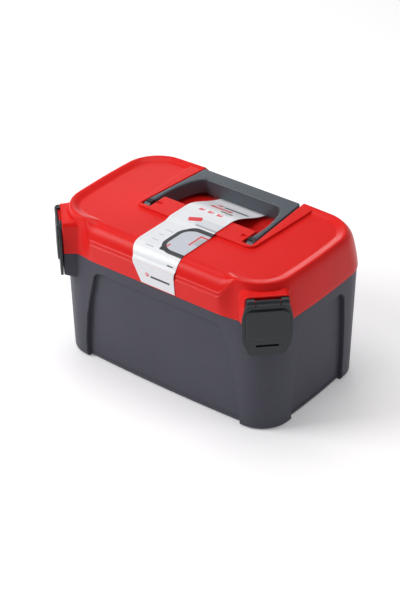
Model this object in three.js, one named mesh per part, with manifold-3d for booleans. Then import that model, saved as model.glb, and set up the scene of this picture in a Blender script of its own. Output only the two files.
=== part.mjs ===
// Plastic toolbox with a hinged lid, a folding carry handle, two corner latches and a lift-out tray.
// Millimetres, +Z up, +X along the length, -Y to the front; the origin is on the floor at the centre.
import * as THREE from 'three';
import { mergeVertices } from 'three/addons/utils/BufferGeometryUtils.js';
import Module from 'manifold-3d';

const wasm = await Module();
wasm.setup();

// ---- Driving dimensions ----
const WALL = 2.3;
const GAP = 0.4; // between pieces that rest on or face each other
const PLAY = 0.3; // round a pin in its bore
const CORNER_STEPS = 6;
const LONG_STEPS = 6;
const SHORT_STEPS = 4;
const BOW_X = 0.027; // how far the short sides bulge, as a share of the half length
const BOW_Y = 0.053; // how far the long sides bulge, as a share of the half depth

const HALF_LENGTH = 183.5; // at the body's rim, before the bulge
const HALF_DEPTH = 112.5;
const RIM_Z = 169;
const DRAFT = 5.8; // how much the body narrows from rim to floor, on each side
const CORNER_R = 48; // seen from above, at the rim
const FOOT_R = 38; // the same at the floor
const FLOOR_T = 3;
const FOOT_LIFT = 2.4;
const EDGE_R = 5; // round of the body's bottom edge

const PANEL_DEPTH = 6;
const PANEL_TOP_Z = RIM_Z - 17;
const PANEL_R = 16;
const COLUMN = { front: 50.5, side: 53.5 }; // what is left beside a recessed panel at the floor
// Half widths of the recessed panels: foot at the floor, less flare where the top corners start.
const FRONT_PANEL = { foot: HALF_LENGTH - COLUMN.front, flare: 22 };
const SIDE_PANEL = { foot: HALF_DEPTH - COLUMN.side, flare: 9 };
const PANEL_STEPS = 4;

const LIP_H = 3;
const LIP_T = 1.6;
const LIP_BAND = 9; // height of the thick band under the rim

const LID_OVERHANG = 0.8;
const LID_H = 58.6;
const LID_TOP_Z = RIM_Z + LID_H;
const DISH = 3.6;
const RIM_W = 12.5; // width of the sloping band inside the lid's crest
const CREST_W = 3; // width of the crest itself
const LID_LEAN_X = 7.5; // how far the lid's sides lean in from seam to crest
const LID_LEAN_FRONT = 4;
const LID_LEAN_BACK = 18;
// The ledge along the lid's front, and the top's front edge that rolls over above it.
const LEDGE = { belowTop: 22.6, drop: 6, past: 9.7, out: 1.4, fromEnd: 69.5 };
const ROLL = { flat: 15.5, start: 3.5, nose: 0.5, drop: 1.5 };

const HANDLE = {
  proud: 0.4,
  height: 21.5,
  fromBack: 17.5,
  grip: 24,
  backHalf: 82,
  legHalf: 91,
  legInner: 79,
};
const HANDLE_LENGTH = 115; // from the pivot to the back of the grip
const HANDLE_CLEAR = 1.6;
const HANDLE_WALL = 3;
const STUD = { r: 4, length: 6.5, wall: 4 };
const PLATFORM = { side: 8, sideBack: 13, ahead: 18, shortOfBack: 5, r: 11, height: 3.2 };
const BAY = { underHandle: 6, frontOfPivot: 20 };

const LATCH = { proud: 15.6, off: 2.7, belowTop: 13.1, belowRim: 38, thick: 4, pad: 2.8, half: 33 };
const LATCH_PAD = { half: 26, aboveBottom: 28, belowTop: 17, r: 7 };
const LATCH_SLOT = { half: 15, aboveBottom: 14.5, height: 3, r: 1.4 };
const LATCH_PIN = { r: 1.8, inset: 5.5, half: 24 };
const LATCH_WINDOW = { half: 17.5, bottom: 6.5 };
const BOSS = { half: 29, belowPin: 7, standoff: 3.6, chamfer: 3, lugRise: 3, lugWall: 1.5 };
const CATCH = { half: 28, aboveLatchEnd: 4, standoff: 2.6, slope: 26 };

const HINGE = { fromEnd: 75.5, r: 6.5, pinR: 1.8, lidHalf: 8, ear: 14, footDrop: 26, footRise: 22 };

const TRAY = { flangeT: 3.6, depth: 44, wall: 2, clear: 1.6, draft: 4 };
const BRACKET = { reach: 9, width: 22, height: 8, fromEnd: 99.5 };
const INSERT = { wall: 2, endBin: 87.5, ribY: 13, guide: 3, drop: 2 }; // the tray's slot-in walls and rib
const TRAY_HANDLE = { half: 62, underBay: 8, legT: 8, barT: 9, depth: 18, socket: 8, r: 14 };
const DIVIDER = { t: 1.8, drop: 4 };

const CARD = { half: 38, t: 0.6, underGrip: 11, aboveBay: 2.1, hem: 2.5 };
const CARD_FLAP = { left: -20, right: 35 }; // the hanging front flap narrows to this at its hem

// ---- Solids ----
function solid(geometry) {
  const bare = geometry.clone();
  bare.deleteAttribute('normal');
  bare.deleteAttribute('uv');
  const merged = mergeVertices(bare, 1e-4);
  const vertProperties = new Float32Array(merged.attributes.position.array);
  const triVerts = new Uint32Array(merged.index.array);
  return new wasm.Manifold(new wasm.Mesh({ numProp: 3, vertProperties, triVerts }));
}

function geometryOf(manifold) {
  const mesh = manifold.getMesh();
  const geometry = new THREE.BufferGeometry();
  geometry.setAttribute('position', new THREE.BufferAttribute(new Float32Array(mesh.vertProperties), 3));
  geometry.setIndex(new THREE.BufferAttribute(new Uint32Array(mesh.triVerts), 1));
  geometry.computeVertexNormals();
  return geometry;
}

function box(x0, x1, y0, y1, z0, z1) {
  const geometry = new THREE.BoxGeometry(x1 - x0, y1 - y0, z1 - z0);
  return geometry.translate((x0 + x1) / 2, (y0 + y1) / 2, (z0 + z1) / 2);
}

function rodAlongX(r, x0, x1, y, z, sides = 16) {
  const geometry = new THREE.CylinderGeometry(r, r, x1 - x0, sides);
  return geometry.rotateZ(Math.PI / 2).translate((x0 + x1) / 2, y, z);
}

function shapeOf(points) {
  return new THREE.Shape(points.map(([x, y]) => new THREE.Vector2(x, y)));
}

// A plan outline raised from z0 to z1.
function prism(points, z0, z1) {
  const geometry = new THREE.ExtrudeGeometry(shapeOf(points), { depth: z1 - z0, bevelEnabled: false });
  return geometry.translate(0, 0, z0);
}

// A side profile of [y, z] points, run along X.
function profileAlongX(points, x0, x1) {
  const geometry = new THREE.ExtrudeGeometry(shapeOf(points), { depth: x1 - x0, bevelEnabled: false });
  return geometry.rotateX(Math.PI / 2).rotateZ(Math.PI / 2).translate(x0, 0, 0);
}

// A front profile of [x, z] points, run along Y.
function profileAlongY(points, y0, y1) {
  const geometry = new THREE.ExtrudeGeometry(shapeOf(points), { depth: y1 - y0, bevelEnabled: false });
  return geometry.rotateX(Math.PI / 2).translate(0, y1, 0);
}

function roundedRectangle(x0, x1, y0, y1, r, steps = 3) {
  const centres = [
    [x1 - r, y0 + r, -90],
    [x1 - r, y1 - r, 0],
    [x0 + r, y1 - r, 90],
    [x0 + r, y0 + r, 180],
  ];
  return centres.flatMap(([cx, cy, from]) => arc(cx, cy, r, from, from + 90, steps));
}

function arc(cx, cy, r, fromDegrees, toDegrees, steps) {
  const points = [];
  for (let k = 0; k <= steps; k += 1) {
    const angle = THREE.MathUtils.degToRad(fromDegrees + ((toDegrees - fromDegrees) * k) / steps);
    points.push([cx + r * Math.cos(angle), cy + r * Math.sin(angle)]);
  }
  return points;
}

// ---- Outlines seen from above ----
// A rounded rectangle whose sides bow outwards, in from its full size by inset.
function bowedOutline({ x, front, back, rFront, rBack }, inset = 0) {
  const [halfX, toFront, toBack] = [x - inset, front - inset, back - inset];
  const rf = Math.max(rFront - inset, 1);
  const rb = Math.max(rBack - inset, 1);
  const corners = [
    arc(halfX - rf, rf - toFront, rf, -90, 0, CORNER_STEPS),
    arc(halfX - rb, toBack - rb, rb, 0, 90, CORNER_STEPS),
    arc(rb - halfX, toBack - rb, rb, 90, 180, CORNER_STEPS),
    arc(rf - halfX, rf - toFront, rf, 180, 270, CORNER_STEPS),
  ];
  const sideSteps = [SHORT_STEPS, LONG_STEPS, SHORT_STEPS, LONG_STEPS];
  const points = corners.flatMap((corner, k) => {
    const end = corner[CORNER_STEPS];
    const next = corners[(k + 1) % 4][0];
    return [...corner, ...between(end, next, sideSteps[k])];
  });
  return points.map(([px, py]) => {
    const depth = py < 0 ? toFront : toBack;
    return [px * (1 + BOW_X * (1 - (py / depth) ** 2)), py * (1 + BOW_Y * (1 - (px / halfX) ** 2))];
  });
}

function between([ax, ay], [bx, by], steps) {
  const points = [];
  for (let k = 1; k < steps; k += 1) {
    points.push([ax + ((bx - ax) * k) / steps, ay + ((by - ay) * k) / steps]);
  }
  return points;
}

// A closed solid through rings of equal point count, each { z, points }, from the lowest up.
function loft(rings) {
  const count = rings[0].points.length;
  const positions = rings.flatMap(({ z, points }) => points.flatMap(([x, y]) => [x, y, z]));
  const index = [];
  const last = (rings.length - 1) * count;
  for (let ring = 0; ring < rings.length - 1; ring += 1) {
    for (let k = 0; k < count; k += 1) {
      const a = ring * count + k;
      const b = ring * count + ((k + 1) % count);
      index.push(a, b, b + count, a, b + count, a + count);
    }
  }
  for (let k = 1; k < count - 1; k += 1) index.push(0, k + 1, k, last, last + k, last + k + 1);
  const geometry = new THREE.BufferGeometry();
  geometry.setAttribute('position', new THREE.Float32BufferAttribute(positions, 3));
  geometry.setIndex(index);
  return geometry;
}

// The body's outline at a height: it narrows evenly towards the floor.
function bodyOutline(z, inset = 0) {
  const lean = DRAFT * (1 - z / RIM_Z);
  const r = FOOT_R + ((CORNER_R - FOOT_R) * z) / RIM_Z;
  const half = { x: HALF_LENGTH - lean, front: HALF_DEPTH - lean, back: HALF_DEPTH - lean };
  return bowedOutline({ ...half, rFront: r, rBack: r }, inset);
}

function bodyLoft(levels) {
  return loft(levels.map(([z, inset]) => ({ z, points: bodyOutline(z, inset) })));
}

// ---- Places that several pieces share ----
const SIDES = [
  ['left', -1],
  ['right', 1],
];
const cornerReach = (HALF_LENGTH + HALF_DEPTH - 2 * CORNER_R) / Math.SQRT2 + CORNER_R;
const latchFace = cornerReach + LATCH.proud;
const latchShift = (HALF_LENGTH - HALF_DEPTH) / Math.SQRT2 - LATCH.off;
const latchTop = LID_TOP_Z - LATCH.belowTop;
const latchBottom = RIM_Z - LATCH.belowRim;
const latchPinN = latchFace - LATCH_PIN.inset;
const latchPinZ = latchTop - LATCH_PIN.inset;
const latchInner = latchFace - LATCH.pad - LATCH.thick;

// The hinges reach as far back as the latches stand forward, so the origin stays central.
const hingeY = (latchFace - LATCH.pad - latchShift + LATCH.half) / Math.SQRT2 - HINGE.r;
const hingeX = HALF_LENGTH - HINGE.fromEnd;

const lidZ = RIM_Z + GAP;
const skirtZ = RIM_Z + LIP_H + 1; // the lid's wall stands straight up to here, past the body's lip
const panelZ = LID_TOP_Z - DISH;
const ledgeZ = LID_TOP_Z - LEDGE.belowTop;
const ledgeY = HALF_DEPTH + LEDGE.past;
const ledgeHalf = HALF_LENGTH - LEDGE.fromEnd;
const flatFrontY = HALF_DEPTH - ROLL.flat;

const handleTop = LID_TOP_Z + HANDLE.proud;
const handleLow = handleTop - HANDLE.height;
const handleBackY = HALF_DEPTH - HANDLE.fromBack;
const gripY = handleBackY - HANDLE.grip;
const pivotY = handleBackY - HANDLE_LENGTH;
const pivotZ = handleTop - HANDLE.height / 2;
const bayFloorZ = handleLow - BAY.underHandle;
const bayFrontY = pivotY + BAY.frontOfPivot;
const platformZ = panelZ + PLATFORM.height;
const platformFrontY = pivotY - PLATFORM.ahead;

// The tray's flange rests on the step over the recessed panels and on brackets at the same height.
const trayRestZ = PANEL_TOP_Z + WALL;
const trayTopZ = trayRestZ + GAP + TRAY.flangeT;
const trayLow = trayTopZ - TRAY.depth;
const trayFloor = trayLow + TRAY.wall;
const trayInset = PANEL_DEPTH + WALL + BRACKET.reach + TRAY.clear;
const insertX = HALF_LENGTH - INSERT.endBin;
const insertTop = trayTopZ - INSERT.drop;
const trayHandleTop = bayFloorZ - WALL - TRAY_HANDLE.underBay;

// A latch's own axes, -Y outwards, turned to the corner on side +1 or -1.
function atCorner(geometry, side) {
  return geometry.translate(side * latchShift, 0, 0).rotateZ((side * Math.PI) / 4);
}

// The x or y limits of a box, lowest first, from two values measured towards side +1 or -1.
function span(side, from, to) {
  return side > 0 ? [from, to] : [-to, -from];
}

function joined(solids) {
  return solids.reduce((sum, one) => sum.add(one));
}

// ---- Body ----
function panelPrisms(grow) {
  const top = PANEL_TOP_Z + grow;
  const frontShape = panelShape(FRONT_PANEL, top, grow);
  const sideShape = panelShape(SIDE_PANEL, top, grow);
  const reach = HALF_LENGTH * 2;
  const along = solid(profileAlongY(frontShape, -reach, reach));
  const across = solid(profileAlongY(sideShape, -reach, reach).rotateZ(Math.PI / 2));
  return along.add(across);
}

function panelShape({ foot, flare }, top, grow) {
  const r = PANEL_R + grow;
  const cornerZ = top - r;
  const edge = [];
  for (let k = 0; k < PANEL_STEPS; k += 1) {
    const share = k / PANEL_STEPS;
    edge.push([foot + grow - flare * share ** 2, cornerZ * share]);
  }
  const right = [...edge, ...arc(foot + grow - flare - r, cornerZ, r, 0, 90, 4)];
  const low = [[-foot - grow, -EDGE_R], [foot + grow, -EDGE_R]];
  return [...low, ...right, ...right.map(([x, z]) => [-x, z]).reverse()];
}

function bodyOuter() {
  const edge = arc(EDGE_R, EDGE_R, EDGE_R, 270, 180, 3).map(([inset, z]) => [z, inset]);
  const full = solid(bodyLoft([...edge, [RIM_Z / 2, 0], [RIM_Z, 0]]));
  const recess = panelPrisms(0).subtract(solid(bodyLoft([[-6, PANEL_DEPTH], [RIM_Z + 5, PANEL_DEPTH]])));
  return full.subtract(recess);
}

function bodyHollow() {
  const band = RIM_Z - LIP_BAND;
  const bandInset = WALL + GAP + LIP_T;
  const levels = [
    [FLOOR_T + FOOT_LIFT, EDGE_R + WALL],
    [FLOOR_T + FOOT_LIFT + 3, WALL + 3],
    [FLOOR_T + FOOT_LIFT + EDGE_R, WALL],
    [band - 3, WALL],
    [band, bandInset],
    [RIM_Z + LIP_H + 2, bandInset],
  ];
  const depth = PANEL_DEPTH + WALL;
  const inside = solid(bodyLoft([[-6, depth], [RIM_Z + 10, depth]]));
  return solid(bodyLoft(levels)).subtract(panelPrisms(WALL).subtract(inside));
}

function footRecess() {
  const reach = HALF_LENGTH * 2;
  const long = solid(box(-FRONT_PANEL.foot, FRONT_PANEL.foot, -reach, reach, -1, FOOT_LIFT));
  return long.add(solid(box(-reach, reach, -SIDE_PANEL.foot, SIDE_PANEL.foot, -1, FOOT_LIFT)));
}

function lip() {
  const outside = WALL + GAP;
  const ring = solid(bodyLoft([[RIM_Z - LIP_BAND / 2, outside], [RIM_Z + LIP_H, outside]]));
  return ring.subtract(bodyHollow());
}

function trayBrackets() {
  const low = trayRestZ - BRACKET.height;
  const half = BRACKET.width / 2;
  const rows = [-1, 0, 1].map((k) => {
    const x = k * (HALF_LENGTH - BRACKET.fromEnd);
    return solid(box(x - half, x + half, -HALF_DEPTH, HALF_DEPTH, low, trayRestZ));
  });
  const ends = solid(box(-HALF_LENGTH, HALF_LENGTH, -half, half, low, trayRestZ));
  const reach = PANEL_DEPTH + WALL + BRACKET.reach;
  const clear = solid(bodyLoft([[low - 1, reach], [trayRestZ + 1, reach]]));
  return joined([...rows, ends]).subtract(clear).intersect(bodyOuter());
}

function catchBlock(side) {
  const face = latchInner - CATCH.standoff;
  const bottom = latchBottom + CATCH.aboveLatchEnd;
  const root = CATCH.slope - face;
  const profile = [
    [root, bottom - CATCH.slope],
    [-face, bottom],
    [-face, RIM_Z - GAP],
    [root, RIM_Z - GAP],
  ];
  return solid(atCorner(profileAlongX(profile, -CATCH.half, CATCH.half), side));
}

function knuckle(x0, x1, foot) {
  const r = HINGE.r;
  const barrel = solid(rodAlongX(r, x0, x1, hingeY, RIM_Z, 20));
  return barrel.add(solid(profileAlongX(foot, x0, x1)));
}

function bodyKnuckles() {
  const r = HINGE.r;
  const foot = [
    [HALF_DEPTH, RIM_Z - HINGE.footDrop],
    [hingeY + r * 0.6, RIM_Z - r * 0.8],
    [hingeY, RIM_Z],
    [HALF_DEPTH, RIM_Z - GAP],
  ];
  const starts = SIDES.flatMap(([, side]) => [
    side * hingeX - HINGE.lidHalf - GAP - HINGE.ear,
    side * hingeX + HINGE.lidHalf + GAP,
  ]);
  return joined(starts.map((x) => knuckle(x, x + HINGE.ear, foot)));
}

function hingeBore() {
  const reach = hingeX + HINGE.lidHalf + GAP + HINGE.ear;
  return solid(rodAlongX(HINGE.pinR + PLAY, -reach - 1, reach + 1, hingeY, RIM_Z, 12));
}

function bodyShell() {
  const hollow = bodyHollow();
  const outside = bodyOuter().add(catchBlock(-1)).add(catchBlock(1)).add(bodyKnuckles());
  const shell = outside.subtract(hollow).subtract(footRecess());
  return shell.add(lip()).add(trayBrackets()).subtract(hingeBore());
}

// ---- Lid ----
const lidSeam = {
  x: HALF_LENGTH + LID_OVERHANG,
  front: HALF_DEPTH + LID_OVERHANG,
  back: HALF_DEPTH + LID_OVERHANG / 2,
  rFront: CORNER_R,
  rBack: CORNER_R,
};

// The lid's outline when it has leant in by a share of its full lean, further in by inset.
function lidOutline(share, inset = 0) {
  const lean = {
    x: lidSeam.x - LID_LEAN_X * share,
    front: lidSeam.front - LID_LEAN_FRONT * share,
    back: lidSeam.back - LID_LEAN_BACK * share,
    rFront: lidSeam.rFront - 2 * share,
    rBack: lidSeam.rBack - 2 * share,
  };
  return bowedOutline(lean, inset);
}

function lidLoft(levels) {
  return loft(levels.map(([z, share, inset]) => ({ z, points: lidOutline(share, inset) })));
}

function lidOuter() {
  return solid(
    lidLoft([
      [lidZ, 0, 0],
      [skirtZ, 0, 0],
      [LID_TOP_Z - 24, 0.35, 0],
      [LID_TOP_Z - 6, 0.72, 0],
      [LID_TOP_Z - 1.2, 1, 0],
      [LID_TOP_Z, 1, CREST_W],
      [panelZ, 1, CREST_W + RIM_W],
    ]),
  );
}

function lidHollow() {
  return solid(
    lidLoft([
      [lidZ - 1, 0, WALL],
      [skirtZ, 0, WALL],
      [ledgeZ - 5, 0.35, WALL],
      [panelZ - 9, 0.72, WALL + 4],
      [panelZ - WALL, 1, WALL + 10],
    ]),
  );
}

// The lid's front between the corner shoulders, as [y, z] from the flat top down to the seam.
function frontProfile(out = 0) {
  return [
    [-flatFrontY, panelZ + out],
    [-HALF_DEPTH + ROLL.start, panelZ + out],
    [-HALF_DEPTH - ROLL.nose - out * 0.5, panelZ - ROLL.drop + out],
    [-ledgeY - out, ledgeZ + out * 0.5],
    [-ledgeY - LEDGE.out - out, ledgeZ - 1.2],
    [-ledgeY - LEDGE.out - out, ledgeZ - LEDGE.drop],
    [-HALF_DEPTH * (1 + BOW_Y) - LID_OVERHANG - out, lidZ],
  ];
}

function frontCut() {
  const top = LID_TOP_Z + 5;
  const away = -HALF_DEPTH - 40;
  const slope = frontProfile().slice(0, 4);
  const profile = [...slope, [away, ledgeZ], [away, top], [-flatFrontY, top]];
  const narrow = ledgeHalf;
  const wide = ledgeHalf + 16;
  const half = [[narrow, away], [wide, -flatFrontY], [wide, 0]];
  const plan = [...half, ...half.map(([x, y]) => [-x, y]).reverse()];
  return solid(profileAlongX(profile, -wide, wide)).intersect(solid(prism(plan, RIM_Z - 60, top + 5)));
}

function apron() {
  const inner = [[-flatFrontY, lidZ]];
  return solid(profileAlongX([...frontProfile(), ...inner], -ledgeHalf, ledgeHalf));
}

function bayPlan(grow) {
  const neck = HANDLE.legInner - HANDLE_CLEAR - grow;
  const legEnd = pivotY - HANDLE.height / 2 - HANDLE_CLEAR - grow;
  const wide = HANDLE.legHalf + HANDLE_CLEAR + grow;
  const back = HANDLE.backHalf + HANDLE_CLEAR + grow;
  const right = [
    [neck, bayFrontY - grow],
    [neck, legEnd],
    [wide, legEnd],
    [wide, pivotY],
    [back, handleBackY],
    [back, HALF_DEPTH + 30],
  ];
  return [...right, ...right.map(([x, y]) => [-x, y]).reverse()];
}

function platformPlan() {
  const frontHalf = HANDLE.legHalf + PLATFORM.side;
  const backHalf = HANDLE.legHalf + PLATFORM.sideBack;
  const { r } = PLATFORM;
  const corner = arc(frontHalf - r, platformFrontY + r, r, -90, 0, 4);
  const right = [...corner, [backHalf, handleBackY - PLATFORM.shortOfBack]];
  return [...right, ...right.map(([x, y]) => [-x, y]).reverse()];
}

function pivotBosses() {
  const r = STUD.r + STUD.wall;
  const from = HANDLE.legHalf + HANDLE_CLEAR;
  const blocks = SIDES.map(([, side]) => {
    const xs = span(side, from, from + STUD.length + 2);
    return solid(box(...xs, pivotY - r, pivotY + r, pivotZ - r, panelZ));
  });
  return joined(blocks);
}

function pivotBore() {
  const reach = HANDLE.legHalf + HANDLE_CLEAR + STUD.length;
  return solid(rodAlongX(STUD.r + PLAY, -reach, reach, pivotY, pivotZ, 16));
}

function lidKnuckles() {
  const foot = [
    [HALF_DEPTH - WALL, lidZ],
    [hingeY, RIM_Z],
    [hingeY - HINGE.r * 0.2, RIM_Z + HINGE.r * 0.9],
    [HALF_DEPTH - WALL - 3, RIM_Z + HINGE.footRise],
  ];
  const lows = SIDES.map(([, side]) => side * hingeX - HINGE.lidHalf);
  return joined(lows.map((x) => knuckle(x, x + 2 * HINGE.lidHalf, foot)));
}

// The block behind a latch, with the lug that holds the latch's pin.
function latchBoss(side) {
  const face = latchInner - BOSS.standoff;
  const top = latchPinZ - BOSS.belowPin;
  const root = CATCH.slope - face;
  const block = [
    [root, lidZ],
    [-face, lidZ],
    [-face, top - BOSS.chamfer],
    [BOSS.chamfer - face, top],
    [root, top],
  ];
  const lugHalf = LATCH_WINDOW.half - GAP * 3;
  const [low, high] = [latchPinZ - BOSS.lugRise, latchPinZ + BOSS.lugRise];
  const lug = box(-lugHalf, lugHalf, -latchPinN, (root - face) / 2, low, high);
  const barrel = rodAlongX(LATCH_PIN.r + PLAY + BOSS.lugWall, -lugHalf, lugHalf, -latchPinN, latchPinZ);
  const parts = [profileAlongX(block, -BOSS.half, BOSS.half), lug, barrel];
  return joined(parts.map((part) => solid(atCorner(part, side))));
}

function latchPinBore(side) {
  const half = LATCH_WINDOW.half;
  return solid(atCorner(rodAlongX(LATCH_PIN.r + PLAY, -half, half, -latchPinN, latchPinZ, 12), side));
}

function lidShell() {
  const hollow = lidHollow();
  const bosses = latchBoss(-1).add(latchBoss(1));
  const outer = lidOuter().subtract(frontCut()).add(apron());
  const platform = solid(prism(platformPlan(), panelZ - 1, platformZ));
  const bayBlock = solid(prism(bayPlan(WALL), bayFloorZ - WALL, panelZ)).intersect(lidOuter());
  const cavity = solid(prism(bayPlan(0), bayFloorZ, LID_TOP_Z + 5));
  const shell = outer.add(bosses).add(lidKnuckles()).subtract(hollow.subtract(bayBlock)).add(platform);
  const bored = shell.add(pivotBosses()).subtract(cavity).subtract(pivotBore());
  return bored.subtract(latchPinBore(-1)).subtract(latchPinBore(1)).subtract(hingeBore());
}

// ---- Handle ----
function handlePlan() {
  const { backHalf, legHalf, legInner, height } = HANDLE;
  const end = pivotY - height / 2;
  const right = [
    [legInner, end],
    [legHalf, end],
    [legHalf, pivotY],
    [backHalf, handleBackY - HANDLE_WALL],
    [backHalf - HANDLE_WALL, handleBackY],
  ];
  const left = right.map(([x, y]) => [-x, y]).reverse();
  const innerLeft = [
    [-legInner, gripY - 41],
    [-legInner + 5, gripY - 19],
    [-legInner + 10, gripY - 3],
    [-legInner + 15, gripY],
  ];
  const innerRight = innerLeft.map(([x, y]) => [-x, y]).reverse();
  return [...right, ...left, ...innerLeft, ...innerRight];
}

function handle() {
  const { height, backHalf, legHalf } = HANDLE;
  const back = handleBackY;
  const wall = HANDLE_WALL;
  const pivot = arc(pivotY, pivotZ, height / 2, 90, 270, 8);
  const grip = [[back - 4, handleLow], [back, handleLow + 4], [back, handleTop - 3], [back - 3, handleTop]];
  const reach = legHalf + wall;
  const side = solid(profileAlongX([...pivot, ...grip], -reach, reach));
  const body = solid(prism(handlePlan(), handleLow, handleTop)).intersect(side);
  const hollowHalf = backHalf - wall - 2;
  const hollow = box(-hollowHalf, hollowHalf, gripY + wall, back - wall, handleLow - 1, handleTop - wall);
  const studs = SIDES.map(([, s]) => {
    const xs = span(s, legHalf - wall, legHalf + HANDLE_CLEAR + STUD.length - 1);
    return solid(rodAlongX(STUD.r, ...xs, pivotY, pivotZ));
  });
  return joined([body.subtract(solid(hollow)), ...studs]);
}

// ---- Latch, in its corner frame ----
function latchShape() {
  const { half } = LATCH;
  const [topZ, bottomZ] = [latchTop, latchBottom];
  const right = [
    [half * 0.66, bottomZ],
    [half * 0.76, bottomZ + 3],
    [half * 0.91, bottomZ + 14],
    [half, bottomZ + 25],
    [half, bottomZ + 54],
    [half * 0.91, topZ - 16],
    [half * 0.82, latchPinZ],
  ];
  return [...right, ...right.map(([x, z]) => [-x, z]).reverse()];
}

function latch() {
  const plate = solid(profileAlongY(latchShape(), -latchInner - LATCH.thick, -latchInner));
  const { half: padHalf, aboveBottom, belowTop, r } = LATCH_PAD;
  const pad = roundedRectangle(-padHalf, padHalf, latchBottom + aboveBottom, latchTop - belowTop, r);
  const cushion = solid(profileAlongY(pad, -latchFace, -latchInner - 1));
  const { half: slotHalf, height, r: slotR } = LATCH_SLOT;
  const slotZ = latchBottom + LATCH_SLOT.aboveBottom - height / 2;
  const opening = roundedRectangle(-slotHalf, slotHalf, slotZ, slotZ + height, slotR);
  const slot = solid(profileAlongY(opening, -latchFace - 1, 0));
  const earOut = LATCH.half * 0.82;
  const ears = solid(rodAlongX(LATCH_PIN.inset, -earOut, earOut, -latchPinN, latchPinZ, 20));
  const { half, bottom } = LATCH_WINDOW;
  const window = solid(box(-half, half, -latchFace - 1, 0, latchPinZ - bottom, latchTop + 1));
  const boreHalf = LATCH_PIN.half + PLAY;
  const bore = solid(rodAlongX(LATCH_PIN.r + PLAY, -boreHalf, boreHalf, -latchPinN, latchPinZ, 12));
  return plate.add(cushion).add(ears).subtract(slot).subtract(window).subtract(bore);
}

// ---- Tray ----
function traySolid() {
  const flangeZ = trayRestZ + GAP;
  const flangeInset = WALL + GAP + LIP_T + TRAY.clear;
  const bin = solid(bodyLoft([[trayLow, trayInset + TRAY.draft], [flangeZ + 1, trayInset]]));
  return bin.add(solid(bodyLoft([[flangeZ, flangeInset], [trayTopZ, flangeInset]])));
}

// The room inside the tray, less clear all round and under.
function trayRoom(clear) {
  const inset = trayInset + TRAY.wall + clear;
  return solid(bodyLoft([[trayFloor + clear, inset + TRAY.draft], [trayTopZ + 1, inset]]));
}

// Two short ribs that hold the end of a wall of thickness t at x, as boxes from y0 to y1.
function guidePair(x, t, y0, y1) {
  const near = t / 2 + GAP;
  const strips = [-1, 1].map((hand) => {
    const [from, to] = span(hand, near, near + INSERT.wall);
    return solid(box(x + from, x + to, y0, y1, trayLow, insertTop));
  });
  return joined(strips);
}

const longWallY = HALF_DEPTH - trayInset - TRAY.draft - TRAY.wall; // the tray's long wall, at its floor
const dividerX = insertX / 3; // three equal bins behind the rib

function tray() {
  const guides = SIDES.flatMap(([, side]) => [
    guidePair(side * insertX, INSERT.wall, longWallY - INSERT.guide, HALF_DEPTH),
    guidePair(side * insertX, INSERT.wall, -HALF_DEPTH, INSERT.guide - longWallY),
    guidePair(side * dividerX, DIVIDER.t, longWallY - INSERT.guide, HALF_DEPTH),
  ]);
  return traySolid().subtract(trayRoom(0).subtract(joined(guides)));
}

// A cross wall on side +1 or -1, with two ribs that hold the end of the lengthwise rib.
function trayWall(side) {
  const half = INSERT.wall / 2;
  const across = span(side, insertX - half, insertX + half);
  const plate = box(...across, -HALF_DEPTH, HALF_DEPTH, trayLow, insertTop);
  const near = INSERT.ribY + half + GAP;
  const xs = span(side, insertX - half - INSERT.guide, insertX);
  const guides = [-1, 1].map((hand) => {
    const ys = span(hand, near, near + INSERT.wall);
    return solid(box(...xs, ...ys, trayLow, insertTop));
  });
  return joined([solid(plate), ...guides]).intersect(trayRoom(GAP));
}

// The rib along the tray's middle: two walls with a finger gap between them, joined by the handle's sockets.
function trayRib() {
  const half = INSERT.wall / 2;
  const end = insertX - half - GAP;
  const [low, high] = [trayFloor + GAP, insertTop];
  const walls = SIDES.map(([, side]) => {
    const ys = span(side, INSERT.ribY - half, INSERT.ribY + half);
    return solid(box(-end, end, ...ys, low, high));
  });
  const { half: reach, legT, depth, socket } = TRAY_HANDLE;
  const blocks = SIDES.map(([, side]) => {
    const xs = span(side, reach - legT - INSERT.wall - GAP, reach + INSERT.wall + GAP);
    return solid(box(...xs, -INSERT.ribY, INSERT.ribY, low, high));
  });
  const sockets = SIDES.map(([, side]) => {
    const xs = span(side, reach - legT - GAP, reach + GAP);
    return solid(box(...xs, -depth / 2 - GAP, depth / 2 + GAP, high - socket - GAP, high + 1));
  });
  const near = INSERT.ribY;
  const guideEnd = near + half + INSERT.guide;
  const guides = SIDES.map(([, side]) => guidePair(side * dividerX, DIVIDER.t, near, guideEnd));
  const frame = joined([...walls, ...blocks]).subtract(joined(sockets));
  return frame.add(joined(guides).intersect(trayRoom(GAP)));
}

function trayHandle() {
  const { half, legT, barT, depth, socket, r } = TRAY_HANDLE;
  const low = insertTop - socket;
  const top = trayHandleTop;
  const innerR = r - legT;
  const outer = [
    [half, low],
    ...arc(half - r, top - r, r, 0, 90, 4),
    ...arc(r - half, top - r, r, 90, 180, 4),
    [-half, low],
  ];
  const inner = [
    [legT - half, low],
    ...arc(r - half, top - barT - innerR, innerR, 180, 90, 3),
    ...arc(half - r, top - barT - innerR, innerR, 90, 0, 3),
    [half - legT, low],
  ];
  return solid(profileAlongY([...outer, ...inner], -depth / 2, depth / 2));
}

function divider(side) {
  const x = side * dividerX;
  const from = INSERT.ribY + INSERT.wall / 2 + GAP;
  const plate = box(x - DIVIDER.t / 2, x + DIVIDER.t / 2, from, HALF_DEPTH, trayLow, trayTopZ - DIVIDER.drop);
  return solid(plate).intersect(trayRoom(GAP));
}

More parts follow.
